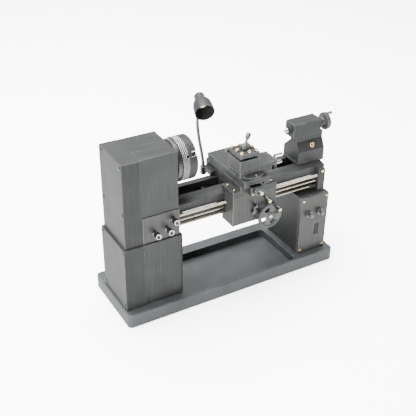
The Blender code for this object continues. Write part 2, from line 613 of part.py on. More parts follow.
def make_apron():
    apron = thing("apron", block(WING_X, APRON_Y, APRON_Z, 0.4, 1))
    cut(apron, block((-20, 70), (BED_Y[0] - 0.6, APRON_Y[1] + 5), (113.6, 140)))
    cut(apron, block((WING_X[0] + 3, WING_X[1] - 3), (APRON_Y[0] + 3, APRON_Y[1] + 5),
                     (APRON_Z[0] - 5, 125.0)))
    for z, radius in ((LEADSCREW_Z, LEADSCREW_R), (FEED_ROD_Z, FEED_ROD_R),
                      (CONTROL_ROD_Z, FEED_ROD_R)):
        cut(apron, cylinder("X", (ROD_Y, z), radius + 0.5, -20, 70, 24))
    x, z = WHEEL_AXIS
    cut(apron, cylinder("Y", (x, z), 1.5 + RUN, -50, -36, 20))
    cut(apron, cylinder("Y", HALF_NUT_LEVER, 1.5 + RUN, -50, -36, 20))
    profile = [(-33.0, 1.5), (-44.0, 1.5), (-44.0, 3.2), (-46.4, 3.2)]
    section = [(-50.2, WHEEL_R), (-46.8, WHEEL_R), (-46.8, 12.6), (-50.2, 12.6)]
    rim = turned_ring("Y", WHEEL_AXIS, section, 48)
    wheel = thing("apron_handwheel", rim, "gunmetal", origin=(x, -44.0, z), smooth=True)
    join(wheel, turned("Y", WHEEL_AXIS, profile + [(-50.0, 4.0), (-50.0, 2.2), (-48.4, 2.2)], 32))
    for k in range(4):
        angle = math.radians(WHEEL_SPOKE_PHASE + 90 * k)
        join(wheel, moved(block((2.6, 13.2), (-49.6, -47.4), (-1.9, 1.9)),
                          Matrix.Translation((x, 0, z)) @ Matrix.Rotation(angle, 4, "Y")))
    grip_at = crank_pin(WHEEL_AXIS, 13.4, WHEEL_SPOKE_PHASE + 45)
    join(wheel, turned("Y", grip_at, [(-48.0, 1.5), (-50.8, 2.0), (-58.0, 2.2), (-58.0, 2.4),
                                      (-60.6, 2.4), (-60.9, 2.1), (-60.9, 1.2), (-59.6, 1.2)], 20))
    gear = [(x + r * math.cos(a), z + r * math.sin(a)) for r, a in gear_outline(12, 2.6, 3.4)]
    join(wheel, prism(gear, "Y", -36.0, -32.5))
    smooth(wheel)
    nut = block((6.0, 30.0), (ROD_Y - 4.5, ROD_Y + 2.8), (111.9, LEADSCREW_Z - 0.4), 0.2, 1)
    nut = thing("half_nut", nut, "brass", origin=(18.0, ROD_Y, 111.9))
    cut(nut, cylinder("X", (ROD_Y, LEADSCREW_Z), LEADSCREW_R + 0.3, 0, 40, 24))
    cut(nut, cylinder("X", (ROD_Y, FEED_ROD_Z), FEED_ROD_R + 0.4, 0, 40, 24))
    lever = turned("Y", HALF_NUT_LEVER, [(-39.5, 1.5), (-43.4, 1.5), (-43.4, 3.0), (-46.0, 3.0)], 24)
    lever = thing("half_nut_lever", lever, "black", origin=(HALF_NUT_LEVER[0], -43.0, HALF_NUT_LEVER[1]))
    join(lever, block((HALF_NUT_LEVER[0] - 1.1, HALF_NUT_LEVER[0] + 1.1), (-45.6, -43.8),
                      (HALF_NUT_LEVER[1] - 1, HALF_NUT_LEVER[1] + 9.5)))
    join(lever, cylinder("Y", (HALF_NUT_LEVER[0], HALF_NUT_LEVER[1] + 9.5), 1.7, -49.5, -44.2, 16))
    smooth(lever)


def crank_pin(centre, radius, degrees):
    """The point at an angle from +X towards +Z around a centre in the XZ plane."""
    angle = math.radians(degrees)
    return (centre[0] + radius * math.cos(angle), centre[1] + radius * math.sin(angle))


def gear_outline(teeth, root, tip):
    """Radius and angle of a simple toothed outline."""
    points = []
    step = 2 * math.pi / teeth
    for k in range(teeth):
        start = k * step
        points += [(root, start), (root, start + 0.4 * step), (tip, start + 0.55 * step),
                   (tip, start + 0.85 * step)]
    return points


def make_lamp():
    foot_x, foot_y = LAMP_FOOT
    socket = thing("lamp_socket", cylinder("Z", LAMP_FOOT, 3.8, 123.0, 133.6, 28), "black", smooth=True)
    join(socket, block((foot_x + 2.0, SADDLE_X[0] - GAP), (foot_y - 3, foot_y), (129.5, 133.2)))
    cut(socket, cylinder("Z", LAMP_FOOT, LAMP_NECK_R + GAP, 127.0, 140.0, 20))
    smooth(socket)
    neck = [lamp_neck(i / 24) for i in range(25)]
    thing("gooseneck", swept(neck, LAMP_NECK_R, 12), "gunmetal", smooth=True)
    direction = Vector(LAMP_DIRECTION).normalized()
    turn = Vector((0, 0, 1)).rotation_difference(direction).to_matrix().to_4x4()
    at_head = Matrix.Translation(LAMP_PIVOT) @ turn
    outside = [(-4.6, 5.2), (-4.0, 6.0), (4.0, 6.0), (4.0, 6.9), (5.4, 8.0), (9.0, 9.9), (14.0, 10.9),
               (24.0, LAMP_MOUTH_R)]
    inside = [(24.0, LAMP_MOUTH_R - 0.9), (14.0, 10.0), (9.0, 8.9), (6.6, 6.8), (6.6, 0.0)]
    shell = turned("Z", (0, 0), [(-4.6, 0.0)] + outside + inside, 36)
    shade = thing("lamp_shade", moved(shell, at_head), "gunmetal", origin=LAMP_PIVOT)
    below = lamp_neck(0.85)
    top = Vector(LAMP_PIVOT)
    neck_hole = swept([below, top + (top - below).normalized() * 1.6], LAMP_NECK_R + 1.3, 20)
    cut(shade, neck_hole)
    smooth(shade)
    led = turned("Z", (0, 0), [(6.9, 3.4), (8.6, 3.4), (9.0, 4.6), (11.4, 4.6), (12.6, 3.4), (13.0, 0)], 24)
    thing("lamp_bulb", moved(led, at_head), "lamp", origin=LAMP_PIVOT, smooth=True)


def lamp_neck(t):
    """A point on the gooseneck: t runs from the socket to the lamp head."""
    foot = Vector((LAMP_FOOT[0], LAMP_FOOT[1], LAMP_FOOT_Z))
    top = Vector(LAMP_PIVOT)
    s = 1 - t
    near_foot = foot + Vector((0, 0, 30))
    near_top = top - Vector((9.0, 0, 38))
    return foot * s ** 3 + near_foot * 3 * s * s * t + near_top * 3 * s * t * t + top * t ** 3


def make_cross_slide():
    slide = thing("cross_slide", block(SADDLE_X, SLIDE_Y, (BRIDGE_TOP + GAP, SLIDE_TOP), 0.4, 1))
    x = SADDLE_DOVETAIL_X
    groove = [(x - 8.8, BRIDGE_TOP - 3), (x + 8.8, BRIDGE_TOP - 3), (x + 8.8, BRIDGE_TOP + 0.3),
              (x + 10.9, BRIDGE_TOP + 3.5), (x - 10.9, BRIDGE_TOP + 3.5), (x - 8.8, BRIDGE_TOP + 0.3)]
    cut(slide, prism(groove, "Y", SLIDE_Y[0] - 5, SLIDE_Y[1] + 5))
    at = (CROSS_AXIS[0], BRACKET_END_Y, CROSS_AXIS[1])
    dial = turned("Y", CROSS_AXIS, [(-33.0, 1.5), (-51.4, 1.5), (-51.4, 4.6), (-55.6, 4.6), (-55.6, 3.2),
                                    (-60.4, 3.2), (-60.8, 2.8)], 28)
    dial = thing("cross_crank", dial, "gunmetal", origin=at, smooth=True)
    arm = block((-9.0, 9.0), (-59.6, -56.6), (-2.0, 2.0), 0.3, 1)
    join(dial, moved(arm, Matrix.Translation((CROSS_AXIS[0], 0, CROSS_AXIS[1]))
                     @ Matrix.Rotation(math.radians(CROSS_CRANK_TURN), 4, "Y")))
    for side, length in ((0, 11.0), (180, 8.0)):
        pin = crank_pin(CROSS_AXIS, 7.2, -CROSS_CRANK_TURN + side)
        end = -60 - length
        join(dial, turned("Y", pin, [(-58.0, 1.5), (-60.1, 1.9), (end + 2.5, 2.1), (end + 2.5, 2.3),
                                     (end, 2.3), (end, 1.1), (end + 1.4, 1.1)], 18))
    smooth(dial)


def make_compound():
    x, y = SWIVEL
    at = (x, y, SLIDE_TOP)
    base = thing("compound_base", cylinder("Z", SWIVEL, 19.0, SLIDE_TOP + GAP, 152.8, 48), origin=at)
    join(base, block((-0.6, 41.0), TOP_SLIDE_Y, (152.0, 157.6), 0.3, 1))
    mid = (TOP_SLIDE_Y[0] + TOP_SLIDE_Y[1]) / 2
    tail = [(mid - 5.5, 157.0), (mid + 5.5, 157.0), (mid + 5.5, 157.8), (mid + 7.3, 160.6),
            (mid - 7.3, 160.6), (mid - 5.5, 157.8)]
    join(base, prism(tail, "X", -0.5, 40.9))
    smooth(base)
    slide_at = (20.0, mid, 158.0)
    slide = thing("top_slide", block((-1.0, 45.0), TOP_SLIDE_Y, (157.9, 163.0), 0.3, 1), origin=slide_at)
    join(slide, block((-1.0, 25.7), TOP_SLIDE_Y, (162.0, 171.0), 0.3, 1))
    groove = [(mid - 5.8, 155.0), (mid + 5.8, 155.0), (mid + 5.8, 157.9), (mid + 7.6, 160.9),
              (mid - 7.6, 160.9), (mid - 5.8, 157.9)]
    cut(slide, prism(groove, "X", -5.0, 50.0))
    join(slide, cylinder("Z", POST, POST_STUD_R, 170.0, 179.8, 24))
    plate = thing("compound_end_plate", block((45.3, 48.3), (TOP_SLIDE_Y[0] + 1, TOP_SLIDE_Y[1] - 1),
                                              (154.0, 163.5), 0.4, 1), origin=slide_at)
    axis = (mid, COMPOUND_AXIS_Z)
    cut(plate, cylinder("X", axis, 1.25, 40, 55, 20))
    hub_at = (48.3, mid, COMPOUND_AXIS_Z)
    hub = turned("X", axis, [(45.5, 1.2), (48.7, 1.2), (48.7, 2.8), (54.0, 2.8), (54.4, 2.4)], 24)
    hub = thing("compound_crank", hub, "gunmetal", origin=hub_at, smooth=True)
    turn = Matrix.Translation((0, axis[0], axis[1])) @ Matrix.Rotation(math.radians(14), 4, "X")
    join(hub, moved(block((50.6, 53.4), (-1.7, 1.7), (-7.6, 7.6), 0.3, 1), turn))
    join(hub, moved(turned("X", (0, 6.0), [(52.0, 1.3), (61.0, 1.5), (61.4, 1.1)], 16), turn))
    join(hub, moved(turned("X", (0, -6.0), [(52.0, 1.6), (54.2, 2.0), (62.4, 2.2), (63.0, 1.7)], 16), turn))
    smooth(hub)


def make_tool_post():
    x, y = POST
    half = POST_SIZE / 2
    at = (x, y, 171.3)
    span_x = (x - half, x + half)
    span_y = (y - half, y + half)
    post = thing("tool_post", block(span_x, span_y, (175.4, 179.7), 0.3, 1), origin=at)
    join(post, block((x - 6.5, x + 6.5), (y - 6.5, y + 6.5), (171.6, 176.0)))
    join(post, block(span_x, span_y, (171.3, 172.2), 0.15, 1))
    cut(post, cylinder("Z", POST, POST_STUD_R + RUN, 165, 185, 24))
    lever = turned("Z", POST, [(180.0, 4.9), (185.0, 4.9), (185.8, 4.2), (185.8, 2.4), (186.2, 2.4)], 28)
    lever = thing("clamp_lever", lever, "gunmetal", origin=at, smooth=True)
    foot = Vector((x, y, 183.6))
    lean = Vector((0.62, 0.30, 1.0)).normalized()
    start = foot + lean * 2.0
    neck = swept([start, start + lean * 8.0], 1.3, 14)
    join(lever, neck)
    turn = Vector((0, 0, 1)).rotation_difference(lean).to_matrix().to_4x4()
    grip = turned("Z", (0, 0), [(5.2, 1.8), (6.0, 2.4), (12.6, 2.8), (13.3, 2.2)], 20)
    join(lever, moved(grip, Matrix.Translation(start) @ turn))
    smooth(lever)
    tool = thing("tool_bit", block((x - half + 0.9, x - half + 3.9), (y - 10.0, y + half + 2.2),
                                   (172.4, 175.1)), "steel", origin=at)
    join(tool, cylinder("X", (y + half + 3.4, 173.8), 1.9, x - half - 1.6, x - half + 4.6, 20))
    cut(tool, cylinder("X", (y + half + 3.4, 173.8), 1.0, x - half - 4, x - half + 0.6, 16))
    smooth(tool)


# --- tailstock ----------------------------------------------------------------------------
def make_tailstock():
    low = BED_TOP + GAP
    thing("tailstock_base", block((TAIL_X[0] - 0.4, TAIL_X[1] + 0.4), (TAIL_Y[0] - 0.4, TAIL_Y[1] + 0.4),
                                  (low, low + 3.2), 0.3, 1))
    y0, y1 = TAIL_Y
    side = [(y0, low + 3.5), (y1, low + 3.5), (y1, 144.8), (AXIS_Y + 6.5, 157.0), (AXIS_Y + 6.5, 165.0),
            (AXIS_Y - 5.5, 165.0), (AXIS_Y - 5.5, 156.6), (y0, 144.8)]
    body = thing("tailstock_body", prism(side, "X", TAIL_X[0], TAIL_X[1]))
    join(body, block(BARREL_X, (AXIS_Y - BARREL_HALF, AXIS_Y + BARREL_HALF), (164.2, AXIS_Z + BARREL_HALF),
                     0.5, 1))
    axis = (AXIS_Y, AXIS_Z)
    join(body, turned("X", axis, [(BARREL_X[1] - 1, 6.6), (133.4, 6.6), (134.0, 5.8)], 32))
    cut(body, cylinder("X", axis, 4.8 + RUN, 80, 127, 32), cylinder("X", axis, 1.5 + RUN, 120, 150, 20))
    normal = Vector((0, -(156.6 - 144.8), AXIS_Y - 5.5 - y0)).normalized()
    at = Vector((118.6, (y0 + AXIS_Y - 5.5) / 2, (144.8 + 156.6) / 2))
    turn = Vector((0, 0, 1)).rotation_difference(normal).to_matrix().to_4x4()
    frame = Matrix.Translation(at) @ turn
    cut(body, moved(cylinder("Z", (0, 0), 4.3, -1.2, 6.0, 28), frame))
    cut(body, moved(cylinder("Z", (0, 0), 2.1, -8.0, 1.0, 20), frame))
    clamp = moved(cap_screw("Z", (0, 0), -0.9, 3.4, 4.0, 1, 1.95, 6.0, 24), frame)
    thing("tailstock_clamp_screw", clamp, "brass", origin=at, smooth=True)
    at_axis = (BARREL_X[0], AXIS_Y, AXIS_Z)
    quill = thing("quill", cylinder("X", axis, 4.8, BARREL_X[0] - 2.4, 126.0, 32), "steel", origin=at_axis)
    cut(quill, cylinder("X", axis, 1.9, 84, 110, 24), cylinder("X", axis, 1.6, 105, 130, 20))
    smooth(quill)
    centre = turned("X", axis, [(81.0, 0), (87.0, 3.0), (88.6, 3.0), (88.6, 1.8), (104.0, 1.8)], 28)
    thing("tailstock_centre", centre, "steel", origin=at_axis, smooth=True)
    wheel_at = (134.2, AXIS_Y, AXIS_Z)
    wheel = turned("X", axis, [(108.0, 1.5), (134.5, 1.5), (134.5, 4.4), (138.6, 4.4),
                               (139.2, TAIL_WHEEL_R - 0.6), (139.8, TAIL_WHEEL_R),
                               (143.6, TAIL_WHEEL_R), (144.2, TAIL_WHEEL_R - 0.7),
                               (144.2, 3.5), (145.4, 3.0)], 40)
    wheel = thing("tailstock_handwheel", wheel, "gunmetal", origin=wheel_at)
    pin = (AXIS_Y + 1.6, AXIS_Z + 7.8)
    join(wheel, turned("X", pin, [(142.0, 1.4), (144.8, 1.8), (150.4, 2.0), (150.4, 2.3), (152.8, 2.3),
                                  (152.8, 1.1), (151.4, 1.1)], 20))
    smooth(wheel)


def main():
    for old in list(bpy.data.objects):
        bpy.data.objects.remove(old, do_unlink=True)
    make_base()
    make_cabinet()
    make_headstock()
    make_drive()
    make_chuck()
    make_bed()
    make_rack()
    make_pedestal()
    make_rods()
    make_knobs()
    make_saddle()
    make_apron()
    make_lamp()
    make_cross_slide()
    make_compound()
    make_tool_post()
    make_tailstock()


main()
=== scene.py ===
"""Looks of the miniature metal lathe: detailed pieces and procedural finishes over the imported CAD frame.

The pieces are modelled in millimetres in the frame's own axes and turned into metres as they are made.
"""
import math

import bmesh
import bpy
from mathutils import Matrix, Vector


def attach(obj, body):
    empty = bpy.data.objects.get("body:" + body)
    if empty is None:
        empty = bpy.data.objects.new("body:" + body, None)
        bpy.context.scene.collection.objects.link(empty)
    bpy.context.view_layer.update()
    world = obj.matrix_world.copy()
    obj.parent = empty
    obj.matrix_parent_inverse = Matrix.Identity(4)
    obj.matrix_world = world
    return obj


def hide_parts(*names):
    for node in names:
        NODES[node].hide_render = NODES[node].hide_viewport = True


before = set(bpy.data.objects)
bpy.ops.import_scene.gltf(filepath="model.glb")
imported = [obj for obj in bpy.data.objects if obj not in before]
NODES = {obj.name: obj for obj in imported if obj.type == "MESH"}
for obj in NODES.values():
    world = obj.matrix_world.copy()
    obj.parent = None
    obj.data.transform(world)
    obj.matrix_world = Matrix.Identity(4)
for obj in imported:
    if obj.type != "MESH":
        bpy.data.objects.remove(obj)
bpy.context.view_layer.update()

MM = 0.001
AXIS_Y = -4.5                          # the spindle, chuck and quill's axis
AXIS_Z = 173.0
ROD_Y = -27.0                          # the three rods, one above the other
LEADSCREW_Z = 115.5
FEED_ROD_Z = 109.6
CONTROL_ROD_Z = 103.4
KNOB_PLACES = ((-100.0, 108.4), (-84.6, 108.8), (-77.9, 119.4))
KNOB_SEAT_Y = -34.0
PANEL_FRONT_Y = -37.4                  # the pedestal panel's face
BUTTON_PLACES = (("start", 104.0), ("stop", 120.0))
BUTTON_Z = 71.8
WHEEL_AXIS = (39.0, 95.5)              # the apron handwheel: X, Z
CROSS_AXIS = (18.0, 136.0)             # the cross-slide's screw: X, Z
COMPOUND_AXIS = (-32.0, 157.2)         # the compound's screw: Y, Z
POST_AT = (11.6, -32.0)                # the tool post's middle: X, Y
TAIL_WHEEL_R = 10.5
LAMP_FOOT = (-3.4, 31.0, 127.4)
LAMP_PIVOT = Vector((-8.7, 31.0, 219.4))
LAMP_AIM = Vector((-0.25, -0.92, -0.31)).normalized()


# --- node materials -------------------------------------------------------------------------
class Shader:
    """A small helper that adds nodes to one material."""

    def __init__(self, name):
        self.material = bpy.data.materials.new(name)
        self.material.use_nodes = True
        self.tree = self.material.node_tree
        self.surface = self.tree.nodes["Principled BSDF"]

    def node(self, kind, **settings):
        made = self.tree.nodes.new(kind)
        for key, value in settings.items():
            setattr(made, key, value)
        return made

    def link(self, source, target):
        self.tree.links.new(source, target)

    def place(self, scale):
        """Object coordinates in metres, stretched by a scale for each axis."""
        where = self.node("ShaderNodeTexCoord")
        mapping = self.node("ShaderNodeMapping")
        mapping.inputs["Scale"].default_value = scale
        self.link(where.outputs["Object"], mapping.inputs["Vector"])
        return mapping.outputs["Vector"]

    def noise(self, scale, detail=3.0, rough=0.5, stretch=(1, 1, 1)):
        made = self.node("ShaderNodeTexNoise")
        made.inputs["Scale"].default_value = scale
        made.inputs["Detail"].default_value = detail
        made.inputs["Roughness"].default_value = rough
        self.link(self.place(stretch), made.inputs["Vector"])
        return made.outputs["Fac"]

    def ramp(self, value, low, high, bottom, top):
        made = self.node("ShaderNodeMapRange", clamp=True)
        made.inputs["From Min"].default_value = low
        made.inputs["From Max"].default_value = high
        made.inputs["To Min"].default_value = bottom
        made.inputs["To Max"].default_value = top
        self.link(value, made.inputs["Value"])
        return made.outputs["Result"]

    def math(self, operation, a, b):
        made = self.node("ShaderNodeMath", operation=operation)
        for socket, value in zip(made.inputs, (a, b)):
            if isinstance(value, (int, float)):
                socket.default_value = value
            else:
                self.link(value, socket)
        return made.outputs["Value"]

    def mix(self, factor, a, b):
        """Two colours or two numbers mixed."""
        number = not (isinstance(a, tuple) or isinstance(b, tuple) or getattr(a, "type", "") == "RGBA")
        made = self.node("ShaderNodeMix", data_type="FLOAT" if number else "RGBA")
        slots = [s for s in made.inputs if s.enabled]
        for socket, value in zip(slots, (factor, a, b)):
            if isinstance(value, (int, float, tuple)):
                socket.default_value = value
            else:
                self.link(value, socket)
        return [s for s in made.outputs if s.enabled][0]

    def bump(self, height, strength, distance):
        made = self.node("ShaderNodeBump")
        made.inputs["Strength"].default_value = strength
        made.inputs["Distance"].default_value = distance
        self.link(height, made.inputs["Height"])
        self.link(made.outputs["Normal"], self.surface.inputs["Normal"])

    def facing_up(self):
        """1 on faces that look up or down, 0 on upright ones."""
        where = self.node("ShaderNodeTexCoord")
        split = self.node("ShaderNodeSeparateXYZ")
        self.link(where.outputs["Normal"], split.inputs["Vector"])
        size = self.math("ABSOLUTE", split.outputs["Z"], 0.0)
        return self.ramp(size, 0.5, 0.8, 0.0, 1.0)

    def edges(self, radius):
        """1 along sharp edges, from how far the rounded normal turns from the true one."""
        bevel = self.node("ShaderNodeBevel", samples=4)
        bevel.inputs["Radius"].default_value = radius
        true = self.node("ShaderNodeNewGeometry")
        dot = self.node("ShaderNodeVectorMath", operation="DOT_PRODUCT")
        self.link(bevel.outputs["Normal"], dot.inputs[0])
        self.link(true.outputs["Normal"], dot.inputs[1])
        return self.ramp(dot.outputs["Value"], 0.985, 0.86, 0.0, 1.0)


def grey(value, tint=(1.0, 1.0, 1.0)):
    return (value * tint[0], value * tint[1], value * tint[2], 1.0)


def satin(name, value, roughness=0.42, tint=(0.97, 1.0, 1.0), metallic=0.42, lines=0.5, up_axis="X"):
    """Satin dark metal: fine layer lines, cloudy tone, edges made lighter, partly as wear and partly as a
    painted highlight.
    """
    made = Shader(name)
    upright = made.noise(1.0, 2.0, 0.6, (2600, 2600, 22))
    flat = made.noise(1.0, 2.0, 0.6, (22, 2600, 2600) if up_axis == "X" else (2600, 22, 2600))
    brushed = made.mix(made.facing_up(), upright, flat)
    cloud = made.noise(38.0, 4.0, 0.6)
    broad = made.noise(9.0, 2.0, 0.5)
    speck = made.noise(1500.0, 2.0, 0.5)
    tone = made.math("ADD", made.ramp(brushed, 0.3, 0.7, 1.0 - lines * 0.5, 1.0 + lines * 0.5),
                     made.ramp(cloud, 0.3, 0.7, -0.10, 0.10))
    tone = made.math("ADD", tone, made.ramp(broad, 0.3, 0.7, -0.08, 0.08))
    tone = made.math("ADD", tone, made.ramp(speck, 0.35, 0.65, -0.05, 0.05))
    base = made.node("ShaderNodeVectorMath", operation="SCALE")
    base.inputs[0].default_value = grey(value, tint)[:3]
    made.link(tone, base.inputs["Scale"])
    # Sharp edges lightened in patches: partly edge wear, partly a painted highlight where edges catch the
    # light.
    wear_and_edge_highlight = made.math("MULTIPLY", made.edges(0.0006), made.ramp(cloud, 0.35, 0.6, 0.35, 1.0))
    colour = made.mix(wear_and_edge_highlight, base.outputs["Vector"], grey(value * 5.0, tint))
    made.link(colour, made.surface.inputs["Base Color"])
    rough = made.math("ADD", made.ramp(brushed, 0.3, 0.7, roughness - 0.06, roughness + 0.06),
                      made.ramp(cloud, 0.3, 0.7, -0.04, 0.05))
    made.link(rough, made.surface.inputs["Roughness"])
    made.surface.inputs["Metallic"].default_value = metallic
    made.surface.inputs["Specular IOR Level"].default_value = 0.05
    made.surface.inputs["Specular Tint"].default_value = (0.25, 0.25, 0.25, 1.0)
    made.bump(brushed, 0.22, 0.00006)
    return made.material


def bright(name, colour, roughness=0.16, metallic=1.0, stretch=(900, 900, 900), wear=0.06):
    """Plated or polished metal with faint scratches and handling marks."""
    made = Shader(name)
    scratch = made.noise(1.0, 3.0, 0.6, stretch)
    smudge = made.noise(160.0, 3.0, 0.55)
    tone = made.math("ADD", made.ramp(scratch, 0.3, 0.7, 1.0 - wear, 1.0 + wear),
                     made.ramp(smudge, 0.35, 0.7, 0.02, -0.10))
    base = made.node("ShaderNodeVectorMath", operation="SCALE")
    base.inputs[0].default_value = colour
    made.link(tone, base.inputs["Scale"])
    made.link(base.outputs["Vector"], made.surface.inputs["Base Color"])
    made.link(made.math("ADD", made.ramp(scratch, 0.3, 0.7, roughness * 0.8, roughness * 1.25),
                        made.ramp(smudge, 0.4, 0.75, 0.0, 0.10)), made.surface.inputs["Roughness"])
    made.surface.inputs["Metallic"].default_value = metallic
    made.bump(scratch, 0.12, 0.00003)
    return made.material


def knurl_metal(name, colour):
    """Bright points with grooves in painted shade, told apart by the distance from the spindle axis."""
    made = Shader(name)
    where = made.node("ShaderNodeTexCoord")
    split = made.node("ShaderNodeSeparateXYZ")
    made.link(where.outputs["Object"], split.inputs["Vector"])
    across = made.math("SUBTRACT", split.outputs["Y"], AXIS_Y * MM)
    height = made.math("SUBTRACT", split.outputs["Z"], AXIS_Z * MM)
    radius = made.math("SQRT", made.math("ADD", made.math("MULTIPLY", across, across),
                                         made.math("MULTIPLY", height, height)), 0.0)
    scratch = made.noise(1400.0, 3.0, 0.6)
    deep = made.ramp(radius, 0.02455, 0.02468, 0.0, 1.0)
    light = tuple(colour) + (1.0,)
    # Painted shade in the knurl grooves: the steel's colour cut to a twentieth.
    dark = tuple(c * 0.05 for c in colour) + (1.0,)
    tone = made.math("MULTIPLY", deep, made.ramp(scratch, 0.3, 0.7, 0.85, 1.0))
    made.link(made.mix(tone, dark, light), made.surface.inputs["Base Color"])
    rough = made.mix(deep, 0.85, made.ramp(scratch, 0.3, 0.7, 0.18, 0.30))
    made.link(rough, made.surface.inputs["Roughness"])
    made.link(deep, made.surface.inputs["Metallic"])
    made.link(made.math("MULTIPLY", deep, 0.5), made.surface.inputs["Specular IOR Level"])
    made.bump(scratch, 0.1, 0.00003)
    return made.material


def dull(name, colour, roughness=0.5, metallic=0.0, scale=900.0):
    """Plastic, rubber or black-oxide steel with a fine grain."""
    made = Shader(name)
    grain = made.noise(scale, 3.0, 0.6)
    patch = made.noise(70.0, 3.0, 0.5)
    tone = made.math("ADD", made.ramp(grain, 0.3, 0.7, 0.85, 1.15), made.ramp(patch, 0.3, 0.7, -0.12, 0.15))
    base = made.node("ShaderNodeVectorMath", operation="SCALE")
    base.inputs[0].default_value = colour
    made.link(tone, base.inputs["Scale"])
    # Sharp edges lightened: partly rubbed wear, partly a painted highlight along the edges.
    wear_and_edge_highlight = made.math("MULTIPLY", made.edges(0.00025), 0.5)
    rubbed_and_lit_edge = tuple(min(1.0, c * 4 + 0.03) for c in colour) + (1.0,)
    made.link(made.mix(wear_and_edge_highlight, base.outputs["Vector"], rubbed_and_lit_edge), made.surface.inputs["Base Color"])
    rough = made.ramp(patch, 0.3, 0.7, roughness - 0.08, roughness + 0.08)
    made.link(rough, made.surface.inputs["Roughness"])
    made.surface.inputs["Metallic"].default_value = metallic
    made.bump(grain, 0.15, 0.00004)
    return made.material


def lens(name):
    """The lamp's warm frosted lens."""
    made = Shader(name)
    cells = made.noise(900.0, 2.0, 0.5)
    tone = made.ramp(cells, 0.35, 0.65, 0.0, 1.0)
    warm = made.mix(tone, (0.80, 0.70, 0.36, 1.0), (0.95, 0.90, 0.62, 1.0))
    made.link(warm, made.surface.inputs["Base Color"])
    made.surface.inputs["Roughness"].default_value = 0.25
    made.surface.inputs["Coat Weight"].default_value = 0.6
    made.surface.inputs["Emission Color"].default_value = (1.0, 0.88, 0.55, 1.0)
    made.surface.inputs["Emission Strength"].default_value = 0.15
    made.bump(cells, 0.3, 0.0001)
    return made.material


BODY = satin("body_satin", 0.024)
BASE = satin("base_satin", 0.040, 0.40, (0.93, 1.0, 1.02), lines=0.18)
# Painted shade: a darker, duller copy of the body finish for the left-facing end covers.
COVER_SHADED = satin("cover_satin_shaded", 0.020, 0.50, metallic=0.2)
PANEL = satin("panel_satin", 0.032, 0.36, (0.97, 1.0, 0.96), lines=0.45)
SLIDE = satin("slide_satin", 0.029, 0.40, up_axis="Y")
DARK = satin("dark_satin", 0.016, 0.42)
WHEEL = satin("wheel_satin", 0.042, 0.30, lines=0.2)
LAMP = satin("lamp_satin", 0.026, 0.44, lines=0.2)
NECK = dull("neck_sleeve", (0.060, 0.060, 0.059), 0.6, 0.2)
STEEL = bright("ground_steel", (0.24, 0.245, 0.25), 0.22, stretch=(300, 1800, 1800))
JAW = bright("jaw_steel", (0.075, 0.077, 0.08), 0.28, stretch=(300, 1800, 1800))
KNURL = knurl_metal("knurled_steel", (0.26, 0.265, 0.27))
CHROME = bright("knob_chrome", (0.20, 0.205, 0.215), 0.12, wear=0.03)
NICKEL = bright("rod_nickel", (0.30, 0.26, 0.20), 0.24, stretch=(60, 1500, 1500))
BRASS = bright("screw_brass", (0.42, 0.32, 0.165), 0.20)
BLACK_STEEL = dull("black_oxide", (0.022, 0.022, 0.024), 0.36, 0.7)
BLACK_PLASTIC = dull("black_plastic", (0.008, 0.008, 0.009), 0.45)
RUBBER = dull("belt_rubber", (0.02, 0.02, 0.02), 0.75)
MOTOR_PAINT = satin("motor_can", 0.12, 0.34, lines=0.2)
LENS = lens("lamp_lens")


# --- mesh helpers ----------------------------------------------------------------------------
def place(axis, u, v, w):
    """A point at w along the axis, u and v being the other two coordinates in X, Y, Z order."""
    if axis == "X":
        return Vector((w, u, v))
    if axis == "Y":
        return Vector((u, w, v))
    return Vector((u, v, w))


def rings_mesh(rings, closed=False, capped=True):
    """A skin over rings of points; a ring of one point is a tip."""
    mesh = bmesh.new()
    made = [[mesh.verts.new(p) for p in ring] for ring in rings]
    pairs = list(zip(made, made[1:]))
    if closed:
        pairs.append((made[-1], made[0]))
    for near, far in pairs:
        count = max(len(near), len(far))
        for i in range(count):
            j = (i + 1) % count
            corners = [near[i % len(near)], near[j % len(near)], far[j % len(far)], far[i % len(far)]]
            mesh.faces.new(list(dict.fromkeys(corners)))
    if capped and not closed:
        for ring in (made[0], made[-1]):
            if len(ring) > 2:
                mesh.faces.new(ring)
    bmesh.ops.recalc_face_normals(mesh, faces=mesh.faces)
    return mesh


def turned(axis, centre, profile, segments=48, closed=False):
    """A turned solid from (position, radius) pairs; a radius may be a function of the angle."""
    rings = []
    for position, radius in profile:
        if radius == 0:
            rings.append([place(axis, centre[0], centre[1], position)])
            continue
        ring = []
        for i in range(segments):
            angle = 2 * math.pi * i / segments
            r = radius(angle) if callable(radius) else radius
            across = centre[0] + r * math.cos(angle)
            along = centre[1] + r * math.sin(angle)
            ring.append(place(axis, across, along, position))
        rings.append(ring)
    return rings_mesh(rings, closed)


def hexagon(across_flats):
    """Radius of a hexagon at an angle."""
    half = across_flats / 2

    def radius(angle):
        return half / math.cos((angle % (math.pi / 3)) - math.pi / 6)
    return radius


def ridged(radius, depth, count):
    """Radius of a straight-knurled bar at an angle."""
    def at(angle):
        return radius - depth * (0.5 + 0.5 * math.cos(angle * count))
    return at


def prism(outline, axis, start, end):
    """A flat outline drawn out along an axis."""
    return rings_mesh([[place(axis, u, v, w) for u, v in outline] for w in (start, end)])


def block(x, y, z):
    """A box from three pairs of limits."""
    return prism([(x[0], y[0]), (x[1], y[0]), (x[1], y[1]), (x[0], y[1])], "Z", z[0], z[1])


